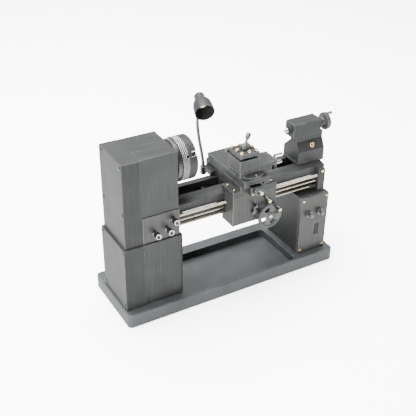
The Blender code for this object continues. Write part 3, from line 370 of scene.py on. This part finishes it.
def swept(points, radius, segments=16):
    """A round bar along points; the radius may be a function of the distance along it."""
    path = [Vector(p) for p in points]
    side = Vector((1, 0, 0))
    rings = []
    travelled = 0.0
    for i, point in enumerate(path):
        ahead = (path[min(i + 1, len(path) - 1)] - path[max(i - 1, 0)]).normalized()
        side = (side - ahead * side.dot(ahead)).normalized()
        other = ahead.cross(side)
        if i:
            travelled += (point - path[i - 1]).length
        r = radius(travelled) if callable(radius) else radius
        rings.append([point + side * r * math.cos(2 * math.pi * k / segments)
                      + other * r * math.sin(2 * math.pi * k / segments) for k in range(segments)])
    return rings_mesh(rings)


def moved(mesh, matrix):
    bmesh.ops.transform(mesh, matrix=matrix, verts=mesh.verts)
    return mesh


def aimed(origin, direction):
    """A matrix that takes +Z to a direction at an origin."""
    turn = Vector((0, 0, 1)).rotation_difference(Vector(direction).normalized()).to_matrix().to_4x4()
    return Matrix.Translation(Vector(origin)) @ turn


def joined(*meshes):
    """Several closed meshes as one mesh."""
    whole = bmesh.new()
    for mesh in meshes:
        data = bpy.data.meshes.new("part")
        mesh.to_mesh(data)
        mesh.free()
        whole.from_mesh(data)
        bpy.data.meshes.remove(data)
    return whole


def rounded(thing, width, degrees):
    """A narrow rounding of the edges sharper than an angle."""
    rounding = thing.modifiers.new("rounding", "BEVEL")
    rounding.width = width * MM
    rounding.segments = 2
    rounding.limit_method = "ANGLE"
    rounding.angle_limit = math.radians(degrees)


def piece(name, mesh, body, material, replaces=(), angle=32.0, bevel=0.0):
    """A piece of the object that rides on a body."""
    data = bpy.data.meshes.new(name)
    bmesh.ops.transform(mesh, matrix=Matrix.Scale(MM, 4), verts=mesh.verts)
    mesh.to_mesh(data)
    mesh.free()
    data.materials.append(material)
    data.shade_smooth()
    data.set_sharp_from_angle(angle=math.radians(angle))
    made = bpy.data.objects.new(name, data)
    bpy.context.collection.objects.link(made)
    if bevel:
        rounded(made, bevel, 40)
    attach(made, body)
    if replaces:
        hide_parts(*replaces)
    return made


def boolean(target, *cutters):
    """Cuts closed meshes out of a piece and keeps the result."""
    for mesh in cutters:
        data = bpy.data.meshes.new("cutter")
        bmesh.ops.transform(mesh, matrix=Matrix.Scale(MM, 4), verts=mesh.verts)
        mesh.to_mesh(data)
        mesh.free()
        tool = bpy.data.objects.new("cutter", data)
        bpy.context.collection.objects.link(tool)
        modifier = target.modifiers.new("cut", "BOOLEAN")
        modifier.operation = "DIFFERENCE"
        modifier.solver = "EXACT"
        modifier.object = tool
        bpy.context.view_layer.update()
        cut = target.evaluated_get(bpy.context.evaluated_depsgraph_get())
        result = bpy.data.meshes.new_from_object(cut)
        target.modifiers.remove(modifier)
        before = target.data
        target.data = result
        bpy.data.meshes.remove(before)
        bpy.data.objects.remove(tool)
        bpy.data.meshes.remove(data)


# --- screws -----------------------------------------------------------------------------------
def cap_head(radius, height, socket, knurled=True, segments=72):
    """A socket cap head standing on z = 0, pointing up."""
    side = ridged(radius, radius * 0.05, 24) if knurled else radius
    chamfer = radius * 0.13
    profile = [(-0.4, radius * 0.6), (0, radius * 0.6), (0, radius * 0.96), (height * 0.06, side),
               (height - chamfer, side), (height, radius - chamfer), (height, socket * 0.68),
               (height - socket * 0.10, hexagon(socket)), (height * 0.42, hexagon(socket)),
               (height * 0.36, 0)]
    return turned("Z", (0, 0), profile, segments)


def screw(name, at, direction, radius, height, body, material, knurled=True):
    """A socket screw's head that stands on a face."""
    head = moved(cap_head(radius, height, radius * 1.02, knurled), aimed(at, direction))
    return piece(name, head, body, material, angle=28)


def make_screws():
    """All the fixing screws that show."""
    left = (-1, 0, 0)
    front = (0, -1, 0)
    up = (0, 0, 1)
    covers = [(-134.8, 17.8, 193.2), (-134.8, -29.6, 193.2), (-134.8, 18.2, 136.0), (-134.8, -29.2, 137.0),
              (-137.5, 20.4, 91.8), (-137.5, -32.4, 91.6), (-137.5, 20.8, 22.8), (-137.5, -32.0, 22.4)]
    for k, at in enumerate(covers):
        screw("cover_screw_%d" % (k + 1), at, left, 1.75, 0.9, "frame", BLACK_STEEL, False)
    for k, (x, z) in enumerate(((95.6, 91.0), (129.0, 91.2), (95.6, 22.0), (129.0, 21.6))):
        screw("panel_screw_%d" % (k + 1), (x, PANEL_FRONT_Y, z), front, 1.55, 0.9, "frame", BRASS)
    screw("bracket_screw", (124.0, -31.0, 122.6), front, 1.9, 1.2, "frame", BRASS)
    for k, (x, y) in enumerate(((-3.6, -23.0), (-3.6, -37.2), (45.6, -23.0), (45.6, -37.2))):
        screw("saddle_screw_%d" % (k + 1), (x, y, 134.5), up, 1.6, 0.5, "carriage", BRASS)
    for k, x in enumerate((12.9, 23.1)):
        screw("bracket_pin_%d" % (k + 1), (x, -51.0, 131.9), front, 1.1, 0.5, "carriage", BRASS)
    k = 0
    for i in (-1, 0, 1):
        for j in (-1, 0, 1):
            if i or j:
                k += 1
                at = (POST_AT[0] + 9.3 * i, POST_AT[1] + 9.3 * j, 179.7)
                screw("tool_screw_%d" % k, at, up, 2.05, 2.2, "tool_post", BRASS)
    screw("swivel_screw", (18.0, -48.0, 152.8), up, 1.5, 0.9, "compound_base", BRASS)
    screw("end_plate_screw", (48.3, -40.6, 158.4), (1, 0, 0), 1.2, 0.8, "top_slide", BRASS)


# --- headstock, chuck and rods ---------------------------------------------------------------
def about_spindle(degrees):
    """A turn about the spindle's axis."""
    centre = Matrix.Translation((0, AXIS_Y, AXIS_Z))
    return centre @ Matrix.Rotation(math.radians(degrees), 4, "X") @ centre.inverted()


def make_chuck_ring():
    """The diamond-knurled adjusting ring."""
    axis = (AXIS_Y, AXIS_Z)
    start, end = -61.9, -52.9
    around, per = 50, 10
    segments = around * per
    steps = 40
    outer = 24.8

    def knurl(position):
        def radius(angle):
            u = angle * around / (2 * math.pi)
            v = (position - start) / 2.5
            one = abs(((u + v) % 1.0) * 2 - 1)
            two = abs(((u - v) % 1.0) * 2 - 1)
            return outer - 0.55 * max(0.0, 1.0 - min(one, two) / 0.62)
        return radius
    profile = [(start, 9.0), (start, outer - 0.9)]
    for i in range(steps + 1):
        position = start + 0.7 + (end - 0.5 - start - 0.7) * i / steps
        profile.append((position, knurl(position)))
    profile += [(end, outer - 0.6), (end, 9.0)]
    mesh = turned("X", axis, profile, segments, closed=True)
    ring = piece("knurled_ring", mesh, "chuck_ring", KNURL, ["chuck_ring"], angle=50)
    cutters = []
    for angle in (62, 182, 302):
        drill = turned("Z", (-54.9, AXIS_Y), [(AXIS_Z + 19, 1.3), (AXIS_Z + 30, 1.3)], 24)
        cutters.append(moved(drill, about_spindle(angle)))
    boolean(ring, *cutters)


def make_jaws():
    """Stepped jaws with a toothed gripping face."""
    steps = [(-37.6, 3.6), (-37.6, 8.2), (-40.2, 8.2), (-40.2, 13.4), (-42.2, 13.4), (-42.2, 19.4)]
    teeth = []
    for tooth in range(6):
        x = -37.7 - tooth * 1.9
        teeth += [(x, 3.6), (x - 0.9, 3.6), (x - 1.1, 3.85), (x - 1.7, 3.85)]
    outline = [(-49.3, 19.4), (-49.3, 3.6)] + teeth[::-1] + steps
    for k in range(3):
        jaw = prism([(x, AXIS_Z + r) for x, r in outline], "Y", AXIS_Y - 2.4, AXIS_Y + 2.4)
        name = "jaw_%d" % (k + 1)
        jaw = moved(jaw, about_spindle(-62 + 120 * k))
        piece("stepped_" + name, jaw, name, JAW, [name], bevel=0.18)


def make_leadscrew():
    """A threaded bar with plain ends."""
    pitch, depth, outer = 1.5, 0.34, 1.7
    start, end = -112.0, 126.0
    steps = int((end - start) / 0.25)
    rings = []
    segments = 20
    for i in range(steps + 1):
        x = start + (end - start) * i / steps
        ring = []
        for k in range(segments):
            angle = 2 * math.pi * k / segments
            wave = abs(((x / pitch - k / segments) % 1.0) * 2 - 1)
            radius = outer - depth * min(1.0, max(0.0, (wave - 0.25) / 0.5))
            if x < -104 or x > 121:
                radius = outer
            y, z = ROD_Y + radius * math.cos(angle), LEADSCREW_Z + radius * math.sin(angle)
            ring.append(Vector((x, y, z)))
        rings.append(ring)
    piece("threaded_leadscrew", rings_mesh(rings), "leadscrew", NICKEL, ["leadscrew"],
          angle=80)


def make_rods():
    """The two plain rods and the collar on the lower one."""
    for name, z in (("feed_rod", FEED_ROD_Z), ("control_rod", CONTROL_ROD_Z)):
        bar = turned("X", (ROD_Y, z), [(-100, 1.0), (-99.9, 1.1), (125.9, 1.1), (126, 1.0)], 24)
        piece(name + "_bar", bar, name, NICKEL, [name])
    section = [(109.0, 1.12), (109.0, 2.2), (109.4, 2.6), (118.6, 2.6), (119.0, 2.2), (119.0, 1.12)]
    collar = turned("X", (ROD_Y, CONTROL_ROD_Z), section, 32, closed=True)
    piece("control_collar", collar, "control_rod", DARK)


def make_knobs():
    """Chromed knobs like socket cap screws, each on a black washer."""
    seat = KNOB_SEAT_Y
    ribs = ridged(3.5, 0.16, 36)
    profile = [(seat + 4.6, 1.7), (seat - 0.3, 1.7), (seat - 0.3, 2.7), (seat - 0.6, 3.0),
               (seat - 2.2, 3.0), (seat - 2.35, 2.8), (seat - 2.7, 2.8), (seat - 2.85, 3.0),
               (seat - 6.5, 3.0), (seat - 6.7, 3.3), (seat - 6.9, ribs), (seat - 10.3, ribs),
               (seat - 10.8, 3.1), (seat - 10.8, 2.5), (seat - 10.5, hexagon(3.9)),
               (seat - 8.2, hexagon(3.9)), (seat - 7.9, 0)]
    section = [(seat - 0.02, 1.85), (seat - 0.02, 3.6), (seat - 0.22, 3.6), (seat - 0.28, 3.4),
               (seat - 0.28, 1.85)]
    for k, at in enumerate(KNOB_PLACES):
        name = "shift_knob_%d" % (k + 1)
        knob = turned("Y", at, profile, 72)
        piece("chrome_knob_%d" % (k + 1), knob, name, CHROME, [name], angle=28)
        washer = turned("Y", at, section, 40, closed=True)
        piece("knob_washer_%d" % (k + 1), washer, "frame", BLACK_STEEL)


# --- handwheels and cranks ---------------------------------------------------------------------
def spinner(at, axis, base, tip, big, small):
    """A turned grip along an axis, thinner at its foot, with a flat end for its screw."""
    span = tip - base
    profile = [(base, small), (base + span * 0.06, small * 1.12), (base + span * 0.16, big * 0.94),
               (base + span * 0.34, big), (base + span * 0.60, big * 0.97),
               (base + span * 0.80, big * 0.90), (base + span * 0.90, big * 0.92),
               (base + span, big * 0.86)]
    return turned(axis, at, profile, 40)


def grip_screw(name, at, direction, radius, height, body):
    """The plain screw in the end of a grip."""
    screw(name, at, direction, radius, height, body, BRASS, False)


def round_spot(centre, radius, degrees):
    """A point at a radius and an angle from a centre."""
    angle = math.radians(degrees)
    return (centre[0] + radius * math.cos(angle), centre[1] + radius * math.sin(angle))


def kidney(centre, inner, outer, start, end, taper=6.0):
    """Outline of a curved window between two radii and two angles; its inner side is shorter by a taper."""
    points = []
    steps = 10
    for i in range(steps + 1):
        points.append(round_spot(centre, outer, start + (end - start) * i / steps))
    for i in range(steps + 1):
        points.append(round_spot(centre, inner, end - taper + (start - end + 2 * taper) * i / steps))
    return points


def make_apron_wheel():
    """The handwheel with four windows, its grip, hub screw and pinion."""
    profile = [(-33.0, 0.0), (-33.0, 1.5), (-44.0, 1.5), (-44.0, 2.9), (-44.2, 3.2), (-46.2, 3.2),
               (-47.5, 4.4), (-47.5, 12.2), (-46.9, 13.0), (-46.8, 14.3), (-47.0, 15.1), (-47.6, 15.5),
               (-49.2, 15.5), (-49.9, 15.2), (-50.2, 14.6), (-50.2, 13.4), (-49.9, 12.8), (-49.3, 12.3),
               (-49.3, 5.6), (-49.9, 5.0), (-50.3, 4.2), (-50.3, 0.0)]
    body = turned("Y", WHEEL_AXIS, profile, 96)
    wheel = piece("apron_wheel", body, "apron_handwheel", WHEEL, ["apron_handwheel"],
                  angle=30)
    for k in range(4):
        start = 1 + 90 * k
        boolean(wheel, prism(kidney(WHEEL_AXIS, 6.0, 11.8, start, start + 48), "Y", -52.0, -45.0))
    wheel.data.shade_smooth()
    wheel.data.set_sharp_from_angle(angle=math.radians(30))
    rounded(wheel, 0.25, 50)
    at = round_spot(WHEEL_AXIS, 13.4, 65)
    grip = spinner(at, "Y", -49.6, -60.0, 2.3, 1.7)
    piece("apron_grip", grip, "apron_handwheel", STEEL)
    grip_screw("apron_grip_screw", (at[0], -59.9, at[1]), (0, -1, 0), 1.75, 0.8, "apron_handwheel")
    hub = (WHEEL_AXIS[0], -50.2, WHEEL_AXIS[1])
    screw("apron_hub_screw", hub, (0, -1, 0), 1.9, 1.2, "apron_handwheel", BRASS)
    gear = []
    for tooth in range(12):
        for radius, degrees in ((2.7, 0), (2.7, 11), (3.35, 16), (3.35, 25)):
            gear.append(round_spot(WHEEL_AXIS, radius, 30 * tooth + degrees))
    piece("wheel_pinion", prism(gear, "Y", -36.0, -32.6), "apron_handwheel", STEEL)


def slot_outline(half_length, radius, steps, across=False):
    """Outline of a bar with round ends, along the first axis or, if across, along the second."""
    points = []
    for centre, start in ((half_length, 0 if across else -90), (-half_length, 180 if across else 90)):
        for i in range(steps + 1):
            angle = math.radians(start + 180 * i / steps)
            u, v = radius * math.cos(angle), radius * math.sin(angle)
            points.append((u, centre + v) if across else (centre + u, v))
    return points


def make_cross_crank():
    """The cross-slide's dial, its crank arm and two grips."""
    def scale_marks(angle):
        return 4.6 - (0.18 if (math.degrees(angle) % 12.0) < 3.0 else 0.0)
    profile = [(-33.0, 0.0), (-33.0, 1.45), (-51.4, 1.45), (-51.4, 4.3), (-51.7, 4.6), (-53.6, 4.6),
               (-53.7, scale_marks), (-55.3, scale_marks), (-55.6, 4.2), (-55.6, 3.4), (-56.6, 3.2),
               (-60.4, 3.2), (-60.8, 2.7), (-60.8, 0.0)]
    dial = turned("Y", CROSS_AXIS, profile, 120)
    piece("cross_dial", dial, "cross_crank", WHEEL, ["cross_crank"], angle=30)
    centre = Matrix.Translation((CROSS_AXIS[0], 0, CROSS_AXIS[1]))
    turn = centre @ Matrix.Rotation(math.radians(50.0), 4, "Y")
    arm = moved(prism(slot_outline(7.0, 2.1, 24), "Y", -59.6, -56.6), turn)
    piece("cross_crank_arm", arm, "cross_crank", WHEEL, bevel=0.3)
    for number, (side, length) in enumerate(((0, 11.0), (180, 8.0))):
        at = round_spot(CROSS_AXIS, 7.2, -50.0 + side)
        end = -60.0 - length
        grip = spinner(at, "Y", -59.4, end + 0.7, 2.25, 1.6)
        piece("cross_grip_%d" % (number + 1), grip, "cross_crank", STEEL)
        tip = (at[0], end + 0.8, at[1])
        grip_screw("cross_grip_screw_%d" % (number + 1), tip, (0, -1, 0), 1.7, 0.8, "cross_crank")


def make_compound_crank():
    """The compound's hub, its crank arm and two grips."""
    profile = [(45.5, 0), (45.5, 1.15), (48.7, 1.15), (48.7, 2.5), (49.0, 2.8), (50.0, 2.8), (50.1, 2.6),
               (50.5, 2.6), (50.6, 2.8), (54.0, 2.8), (54.4, 2.3), (54.4, 0)]
    hub = turned("X", COMPOUND_AXIS, profile, 48)
    piece("compound_hub", hub, "compound_crank", WHEEL, ["compound_crank"], angle=30)
    centre = Matrix.Translation((0, COMPOUND_AXIS[0], COMPOUND_AXIS[1]))
    turn = centre @ Matrix.Rotation(math.radians(14), 4, "X")
    arm = moved(prism(slot_outline(6.0, 1.65, 18, across=True), "X", 50.7, 53.3), turn)
    piece("compound_arm", arm, "compound_crank", STEEL, bevel=0.3)
    profile = [(52.6, 1.3), (54.0, 1.4), (60.6, 1.6), (61.2, 1.4), (61.4, 0.9), (61.4, 0)]
    thin = turned("X", (0, 6.0), profile, 32)
    piece("compound_grip_1", moved(thin, turn), "compound_crank", CHROME)
    fat = spinner((0, -6.0), "X", 52.8, 63.0, 2.15, 1.5)
    piece("compound_grip_2", moved(fat, turn), "compound_crank", CHROME)


def make_clamp_lever():
    """The tool post's domed nut and its leaning handle."""
    x, y = POST_AT
    profile = [(180.0, 4.4), (180.3, 4.9), (183.8, 4.9), (185.0, 4.4), (185.8, 3.3), (186.1, 2.0),
               (186.1, 0)]
    nut = turned("Z", POST_AT, profile, 48)
    piece("clamp_nut", nut, "clamp_lever", WHEEL, ["clamp_lever"])
    screw("clamp_nut_screw", (x, y, 185.9), (0, 0, 1), 1.7, 1.1, "clamp_lever", BRASS)
    lean = Vector((0.62, 0.30, 1.0)).normalized()
    start = Vector((x, y, 183.6)) + lean * 2.0
    handle = [(0.0, 1.3), (5.0, 1.25), (5.2, 1.9), (5.9, 2.3), (6.8, 2.35), (6.9, 2.1), (7.4, 2.1),
              (7.5, ridged(2.75, 0.14, 30)), (12.3, ridged(2.8, 0.14, 30)), (13.0, 2.35), (13.3, 1.6),
              (13.3, 0)]
    stem = moved(turned("Z", (0, 0), handle, 90), aimed(start, lean))
    piece("clamp_handle", stem, "clamp_lever", JAW, angle=40)


def make_tail_wheel():
    """The tailstock's handwheel, its hub screw and its grip."""
    axis = (AXIS_Y, AXIS_Z)
    radius = TAIL_WHEEL_R
    rim = ridged(radius, 0.30, 30)
    profile = [(108.0, 0.0), (108.0, 1.45), (134.5, 1.45), (134.5, 4.1), (134.8, 4.4), (137.6, 4.4),
               (138.4, 4.8), (138.9, 6.4), (139.3, 9.4), (139.6, radius - 0.5), (140.0, rim),
               (143.4, rim), (143.9, radius - 0.4), (144.2, radius - 0.9), (144.0, radius - 1.6),
               (143.2, 7.4), (142.9, 4.6), (143.6, 3.6), (145.2, 3.1), (145.4, 2.7), (145.4, 0)]
    body = "tailstock_handwheel"
    piece("tail_wheel", turned("X", axis, profile, 120), body, WHEEL, [body], angle=30)
    screw("tail_wheel_screw", (145.3, AXIS_Y, AXIS_Z), (1, 0, 0), 1.7, 1.0, body, BRASS)
    at = (AXIS_Y + 1.6, AXIS_Z + 7.8)
    piece("tail_grip", spinner(at, "X", 142.6, 152.1, 2.25, 1.5), body, STEEL)
    grip_screw("tail_grip_screw", (152.0, at[0], at[1]), (1, 0, 0), 1.7, 0.78, body)


# --- lamp -----------------------------------------------------------------------------------------
def lamp_neck(t):
    """A point on the gooseneck: t runs from its foot to the lamp head."""
    foot = Vector(LAMP_FOOT)
    near_foot = foot + Vector((0, 0, 30))
    near_top = LAMP_PIVOT - Vector((9.0, 0, 38))
    s = 1 - t
    return foot * s ** 3 + near_foot * 3 * s * s * t + near_top * 3 * s * t * t + LAMP_PIVOT * t ** 3


def make_lamp():
    """The bell with its reflector and lens, the ribbed gooseneck and its foot."""
    head = aimed(LAMP_PIVOT, LAMP_AIM)

    def cap(angle):
        return 5.35 if (math.degrees(angle) % 24.0) < 7.5 else 6.0
    shell = [(-4.6, 0.0), (-4.6, 4.6), (-4.3, 5.4), (-3.8, 5.9), (-3.3, 5.95), (-3.2, cap), (2.6, cap),
             (2.7, 6.0), (3.6, 6.0), (3.8, 6.1), (4.0, 6.8), (4.6, 7.3), (5.4, 8.0), (7.0, 9.0),
             (9.0, 9.9), (11.0, 10.4), (14.0, 10.85), (18.0, 11.05), (23.4, 11.2), (23.9, 11.15),
             (24.0, 10.9), (23.8, 10.5), (18.0, 10.3), (14.0, 10.0), (11.0, 9.6), (9.0, 8.9), (7.6, 8.0),
             (6.7, 6.8), (6.6, 0.0)]
    mesh = moved(turned("Z", (0, 0), shell, 120), head)
    shade = piece("lamp_bell", mesh, "lamp_head", LAMP, ["lamp_shade"], angle=35)
    entry = lamp_neck(0.85)
    boolean(shade, swept([entry, LAMP_PIVOT + (LAMP_PIVOT - entry).normalized() * 1.6], 3.05, 32))
    shade.data.shade_smooth()
    shade.data.set_sharp_from_angle(angle=math.radians(35))
    section = [(6.7, 4.8), (6.75, 5.6), (8.4, 6.2), (8.6, 5.9), (7.4, 5.2), (7.2, 4.8)]
    reflector = turned("Z", (0, 0), section, 64, closed=True)
    piece("lamp_reflector", moved(reflector, head), "lamp_head", BRASS)
    dome = [(6.9, 3.0), (6.9, 4.5), (10.6, 4.5), (11.0, 4.3), (11.9, 3.6), (12.6, 2.4), (12.95, 1.0),
            (13.0, 0)]
    led = moved(turned("Z", (0, 0), dome, 48), head)
    piece("lamp_led", led, "lamp_head", LENS, ["lamp_bulb"])
    neck = [lamp_neck(i / 240) for i in range(241)]
    coil = swept(neck, lambda d: 1.80 + 0.12 * math.cos(2 * math.pi * d / 1.6), 20)
    piece("gooseneck_tube", coil, "carriage", NECK, ["gooseneck"], angle=60)
    profile = [(123.0, 0), (123.0, 3.4), (123.4, 3.8), (125.6, 3.8), (125.8, 3.55), (126.3, 3.55),
               (126.5, 3.8), (132.9, 3.8), (133.6, 3.1), (133.6, 2.1), (127.2, 2.1), (127.0, 0)]
    socket = turned("Z", LAMP_FOOT[:2], profile, 48)
    lug = block((-0.5, 1.2), (28.0, 31.0), (129.5, 133.2))
    piece("lamp_foot", joined(socket, lug), "carriage", BLACK_STEEL, ["lamp_socket"])


# --- buttons, tool, tailstock details -------------------------------------------------------------
def make_buttons():
    """The two push buttons in their collars."""
    front = PANEL_FRONT_Y
    profile = [(-32.0, 0), (-32.0, 2.2), (front - 5.0, 2.2), (front - 5.0, 2.5), (front - 5.2, 2.7),
               (front - 6.9, 2.7), (front - 7.5, 2.45), (front - 7.9, 1.8), (front - 8.0, 1.0),
               (front - 8.0, 0)]
    section = [(front - 1.2, 2.3), (front - 1.2, 4.15), (front - 1.6, 4.3), (front - 2.6, 4.3),
               (front - 3.0, 4.0), (front - 3.0, 2.3)]
    for name, x in BUTTON_PLACES:
        button = name + "_button"
        cap = turned("Y", (x, BUTTON_Z), profile, 48)
        piece(name + "_cap", cap, button, BLACK_PLASTIC, [button])
        collar = turned("Y", (x, BUTTON_Z), section, 48, closed=True)
        piece(name + "_collar", collar, "frame", BLACK_PLASTIC)


def make_tool():
    """The tool's square shank and the round nose on its end."""
    x, y = POST_AT
    shank = block((x - 11.4, x - 8.4), (y - 10.0, y + 14.6), (172.4, 175.1))
    piece("tool_shank", shank, "tool_post", DARK, ["tool_bit"], bevel=0.2)
    profile = [(x - 11.3, 1.0), (x - 13.9, 1.0), (x - 13.9, 1.6), (x - 13.6, 1.9), (x - 8.0, 1.9),
               (x - 7.7, 1.6), (x - 7.7, 0)]
    nose = turned("X", (y + 15.7, 173.8), profile, 40)
    piece("tool_nose", nose, "tool_post", BLACK_STEEL)


def make_quill():
    """The quill's sleeve, its centre and the tailstock's clamp screw."""
    axis = (AXIS_Y, AXIS_Z)
    section = [(88.9, 1.9), (88.9, 4.2), (89.3, 4.7), (90.0, 4.8), (90.1, 4.5), (90.5, 4.5), (90.6, 4.8),
               (125.7, 4.8), (126.0, 4.5), (126.0, 1.6), (105.2, 1.6), (105.0, 1.9)]
    sleeve = turned("X", axis, section, 64, closed=True)
    piece("quill_sleeve", sleeve, "quill", DARK, ["quill"])
    profile = [(81.0, 0), (81.3, 0.16), (87.0, 3.0), (87.3, 3.05), (88.3, 3.05), (88.6, 2.9), (88.6, 1.8),
               (104.0, 1.8), (104.0, 0)]
    centre = turned("X", axis, profile, 48)
    piece("live_centre", centre, "quill", STEEL, ["tailstock_centre"])
    normal = Vector((0, -11.8, 6.0)).normalized()
    seat = aimed(Vector((118.6, -13.0, 150.7)) - normal * 0.9, normal)
    head = moved(cap_head(3.4, 3.1, 3.4), seat)
    shank = moved(turned("Z", (0, 0), [(-5.9, 0), (-5.9, 1.9), (-0.4, 1.9), (-0.4, 0)], 24), seat)
    piece("clamp_screw", joined(head, shank), "tailstock_clamp", BRASS, ["tailstock_clamp_screw"],
          angle=28)


# --- finishes of the CAD nodes that stay visible ----------------------------------------------------
def dress(material, *names, bevel=0.0):
    """Gives CAD nodes their finish and, where a width is given, narrow rounded edges."""
    for name in names:
        node = NODES[name]
        node.data.materials.clear()
        node.data.materials.append(material)
        if bevel:
            rounded(node, bevel, 50)


def dress_nodes():
    dress(BASE, "base_tray")
    dress(BODY, "headstock_housing", "cabinet_housing", bevel=0.45)
    dress(BODY, "bed", "chuck_body")
    dress(BODY, "rod_bracket", "tailstock_base", "tailstock_body", "pedestal", bevel=0.35)
    # The left-facing end covers take the body finish with painted shade.
    dress(COVER_SHADED, "gear_cover", "cabinet_end_cover", bevel=0.45)
    dress(PANEL, "gearbox_panel", "pedestal_panel", "apron", bevel=0.3)
    dress(SLIDE, "saddle", "cross_slide", "compound_base", "top_slide")
    dress(SLIDE, "compound_end_plate", "tool_post", bevel=0.3)
    dress(DARK, "cabinet_side_plate", "feed_gearbox", "panel_inset")
    dress(BLACK_STEEL, "chuck_backplate")
    dress(BLACK_PLASTIC, "power_inlet")
    dress(MOTOR_PAINT, "motor")
    dress(STEEL, "spindle", "motor_rotor", "rear_bearing", "front_bearing", "rack")
    dress(BRASS, "half_nut")
    dress(RUBBER, "drive_belt")
    dress(BLACK_STEEL, "half_nut_lever")


# --- stage --------------------------------------------------------------------------------------------
def make_stage():
    mesh = bmesh.new()
    bmesh.ops.create_grid(mesh, x_segments=1, y_segments=1, size=6.0)
    data = bpy.data.meshes.new("floor")
    mesh.to_mesh(data)
    mesh.free()
    floor = bpy.data.objects.new("floor", data)
    bpy.context.collection.objects.link(floor)
    paint = Shader("floor_paint")
    white = paint.mix(paint.noise(3.0, 2.0, 0.5), (0.93, 0.93, 0.925, 1.0), (0.96, 0.96, 0.96, 1.0))
    paint.link(white, paint.surface.inputs["Base Color"])
    paint.surface.inputs["Roughness"].default_value = 0.7
    paint.surface.inputs["Emission Color"].default_value = (1.0, 1.0, 1.0, 1.0)
    paint.surface.inputs["Emission Strength"].default_value = 2.0
    data.materials.append(paint.material)


def area_light(name, location, target, size, power, colour=(1.0, 1.0, 1.0)):
    data = bpy.data.lights.new(name, "AREA")
    data.shape = "RECTANGLE"
    data.size = size[0]
    data.size_y = size[1]
    data.energy = power
    data.color = colour
    lamp = bpy.data.objects.new(name, data)
    lamp.location = location
    lamp.rotation_mode = "QUATERNION"
    lamp.rotation_quaternion = (Vector(target) - Vector(location)).to_track_quat("-Z", "Y")
    bpy.context.collection.objects.link(lamp)


def make_lights():
    world = bpy.data.worlds.new("studio")
    bpy.context.scene.world = world
    world.use_nodes = True
    tree = world.node_tree
    where = tree.nodes.new("ShaderNodeTexCoord")
    toward = tree.nodes.new("ShaderNodeVectorMath")
    toward.operation = "DOT_PRODUCT"
    toward.inputs[1].default_value = (0.30, 0.66, 0.69)
    tree.links.new(where.outputs["Generated"], toward.inputs[0])
    spread = tree.nodes.new("ShaderNodeMapRange")
    spread.interpolation_type = "SMOOTHSTEP"
    spread.inputs["From Min"].default_value = 0.0
    spread.inputs["From Max"].default_value = 1.0
    spread.inputs["To Min"].default_value = 0.5
    spread.inputs["To Max"].default_value = 4.0
    tree.links.new(toward.outputs["Value"], spread.inputs["Value"])
    background = tree.nodes["Background"]
    background.inputs["Color"].default_value = (1.0, 1.0, 1.0, 1.0)
    tree.links.new(spread.outputs["Result"], background.inputs["Strength"])
    middle = (0.0, 0.0, 0.10)
    area_light("left_panel", (-1.1, -0.5, 1.3), middle, (0.9, 0.9), 40.0)
    area_light("top_panel", (-0.2, 0.3, 1.5), middle, (1.4, 1.4), 185.0)
    area_light("low_panel", (-1.1, -0.75, 0.30), middle, (0.7, 0.5), 26.0)


def make_camera():
    data = bpy.data.cameras.new("camera")
    data.lens = 66.2
    data.sensor_width = 36.0
    data.clip_start = 0.01
    data.clip_end = 20.0
    camera = bpy.data.objects.new("camera", data)
    azimuth, elevation, roll = math.radians(-30.28), math.radians(31.78), math.radians(0.78)
    back = Vector((math.sin(azimuth) * math.cos(elevation), -math.cos(azimuth) * math.cos(elevation),
                   math.sin(elevation)))
    level = Vector((0, 0, 1)).cross(back).normalized()
    steep = back.cross(level)
    right = level * math.cos(roll) + steep * math.sin(roll)
    up = steep * math.cos(roll) - level * math.sin(roll)
    turn = Matrix((right, up, back)).transposed().to_4x4()
    camera.matrix_world = Matrix.Translation((-0.3943, -0.6506, 0.5619)) @ turn
    bpy.context.collection.objects.link(camera)
    bpy.context.scene.camera = camera


make_screws()
make_chuck_ring()
make_jaws()
make_leadscrew()
make_rods()
make_knobs()
make_apron_wheel()
make_cross_crank()
make_compound_crank()
make_clamp_lever()
make_tail_wheel()
make_lamp()
make_buttons()
make_tool()
make_quill()
dress_nodes()
make_stage()
make_lights()
make_camera()
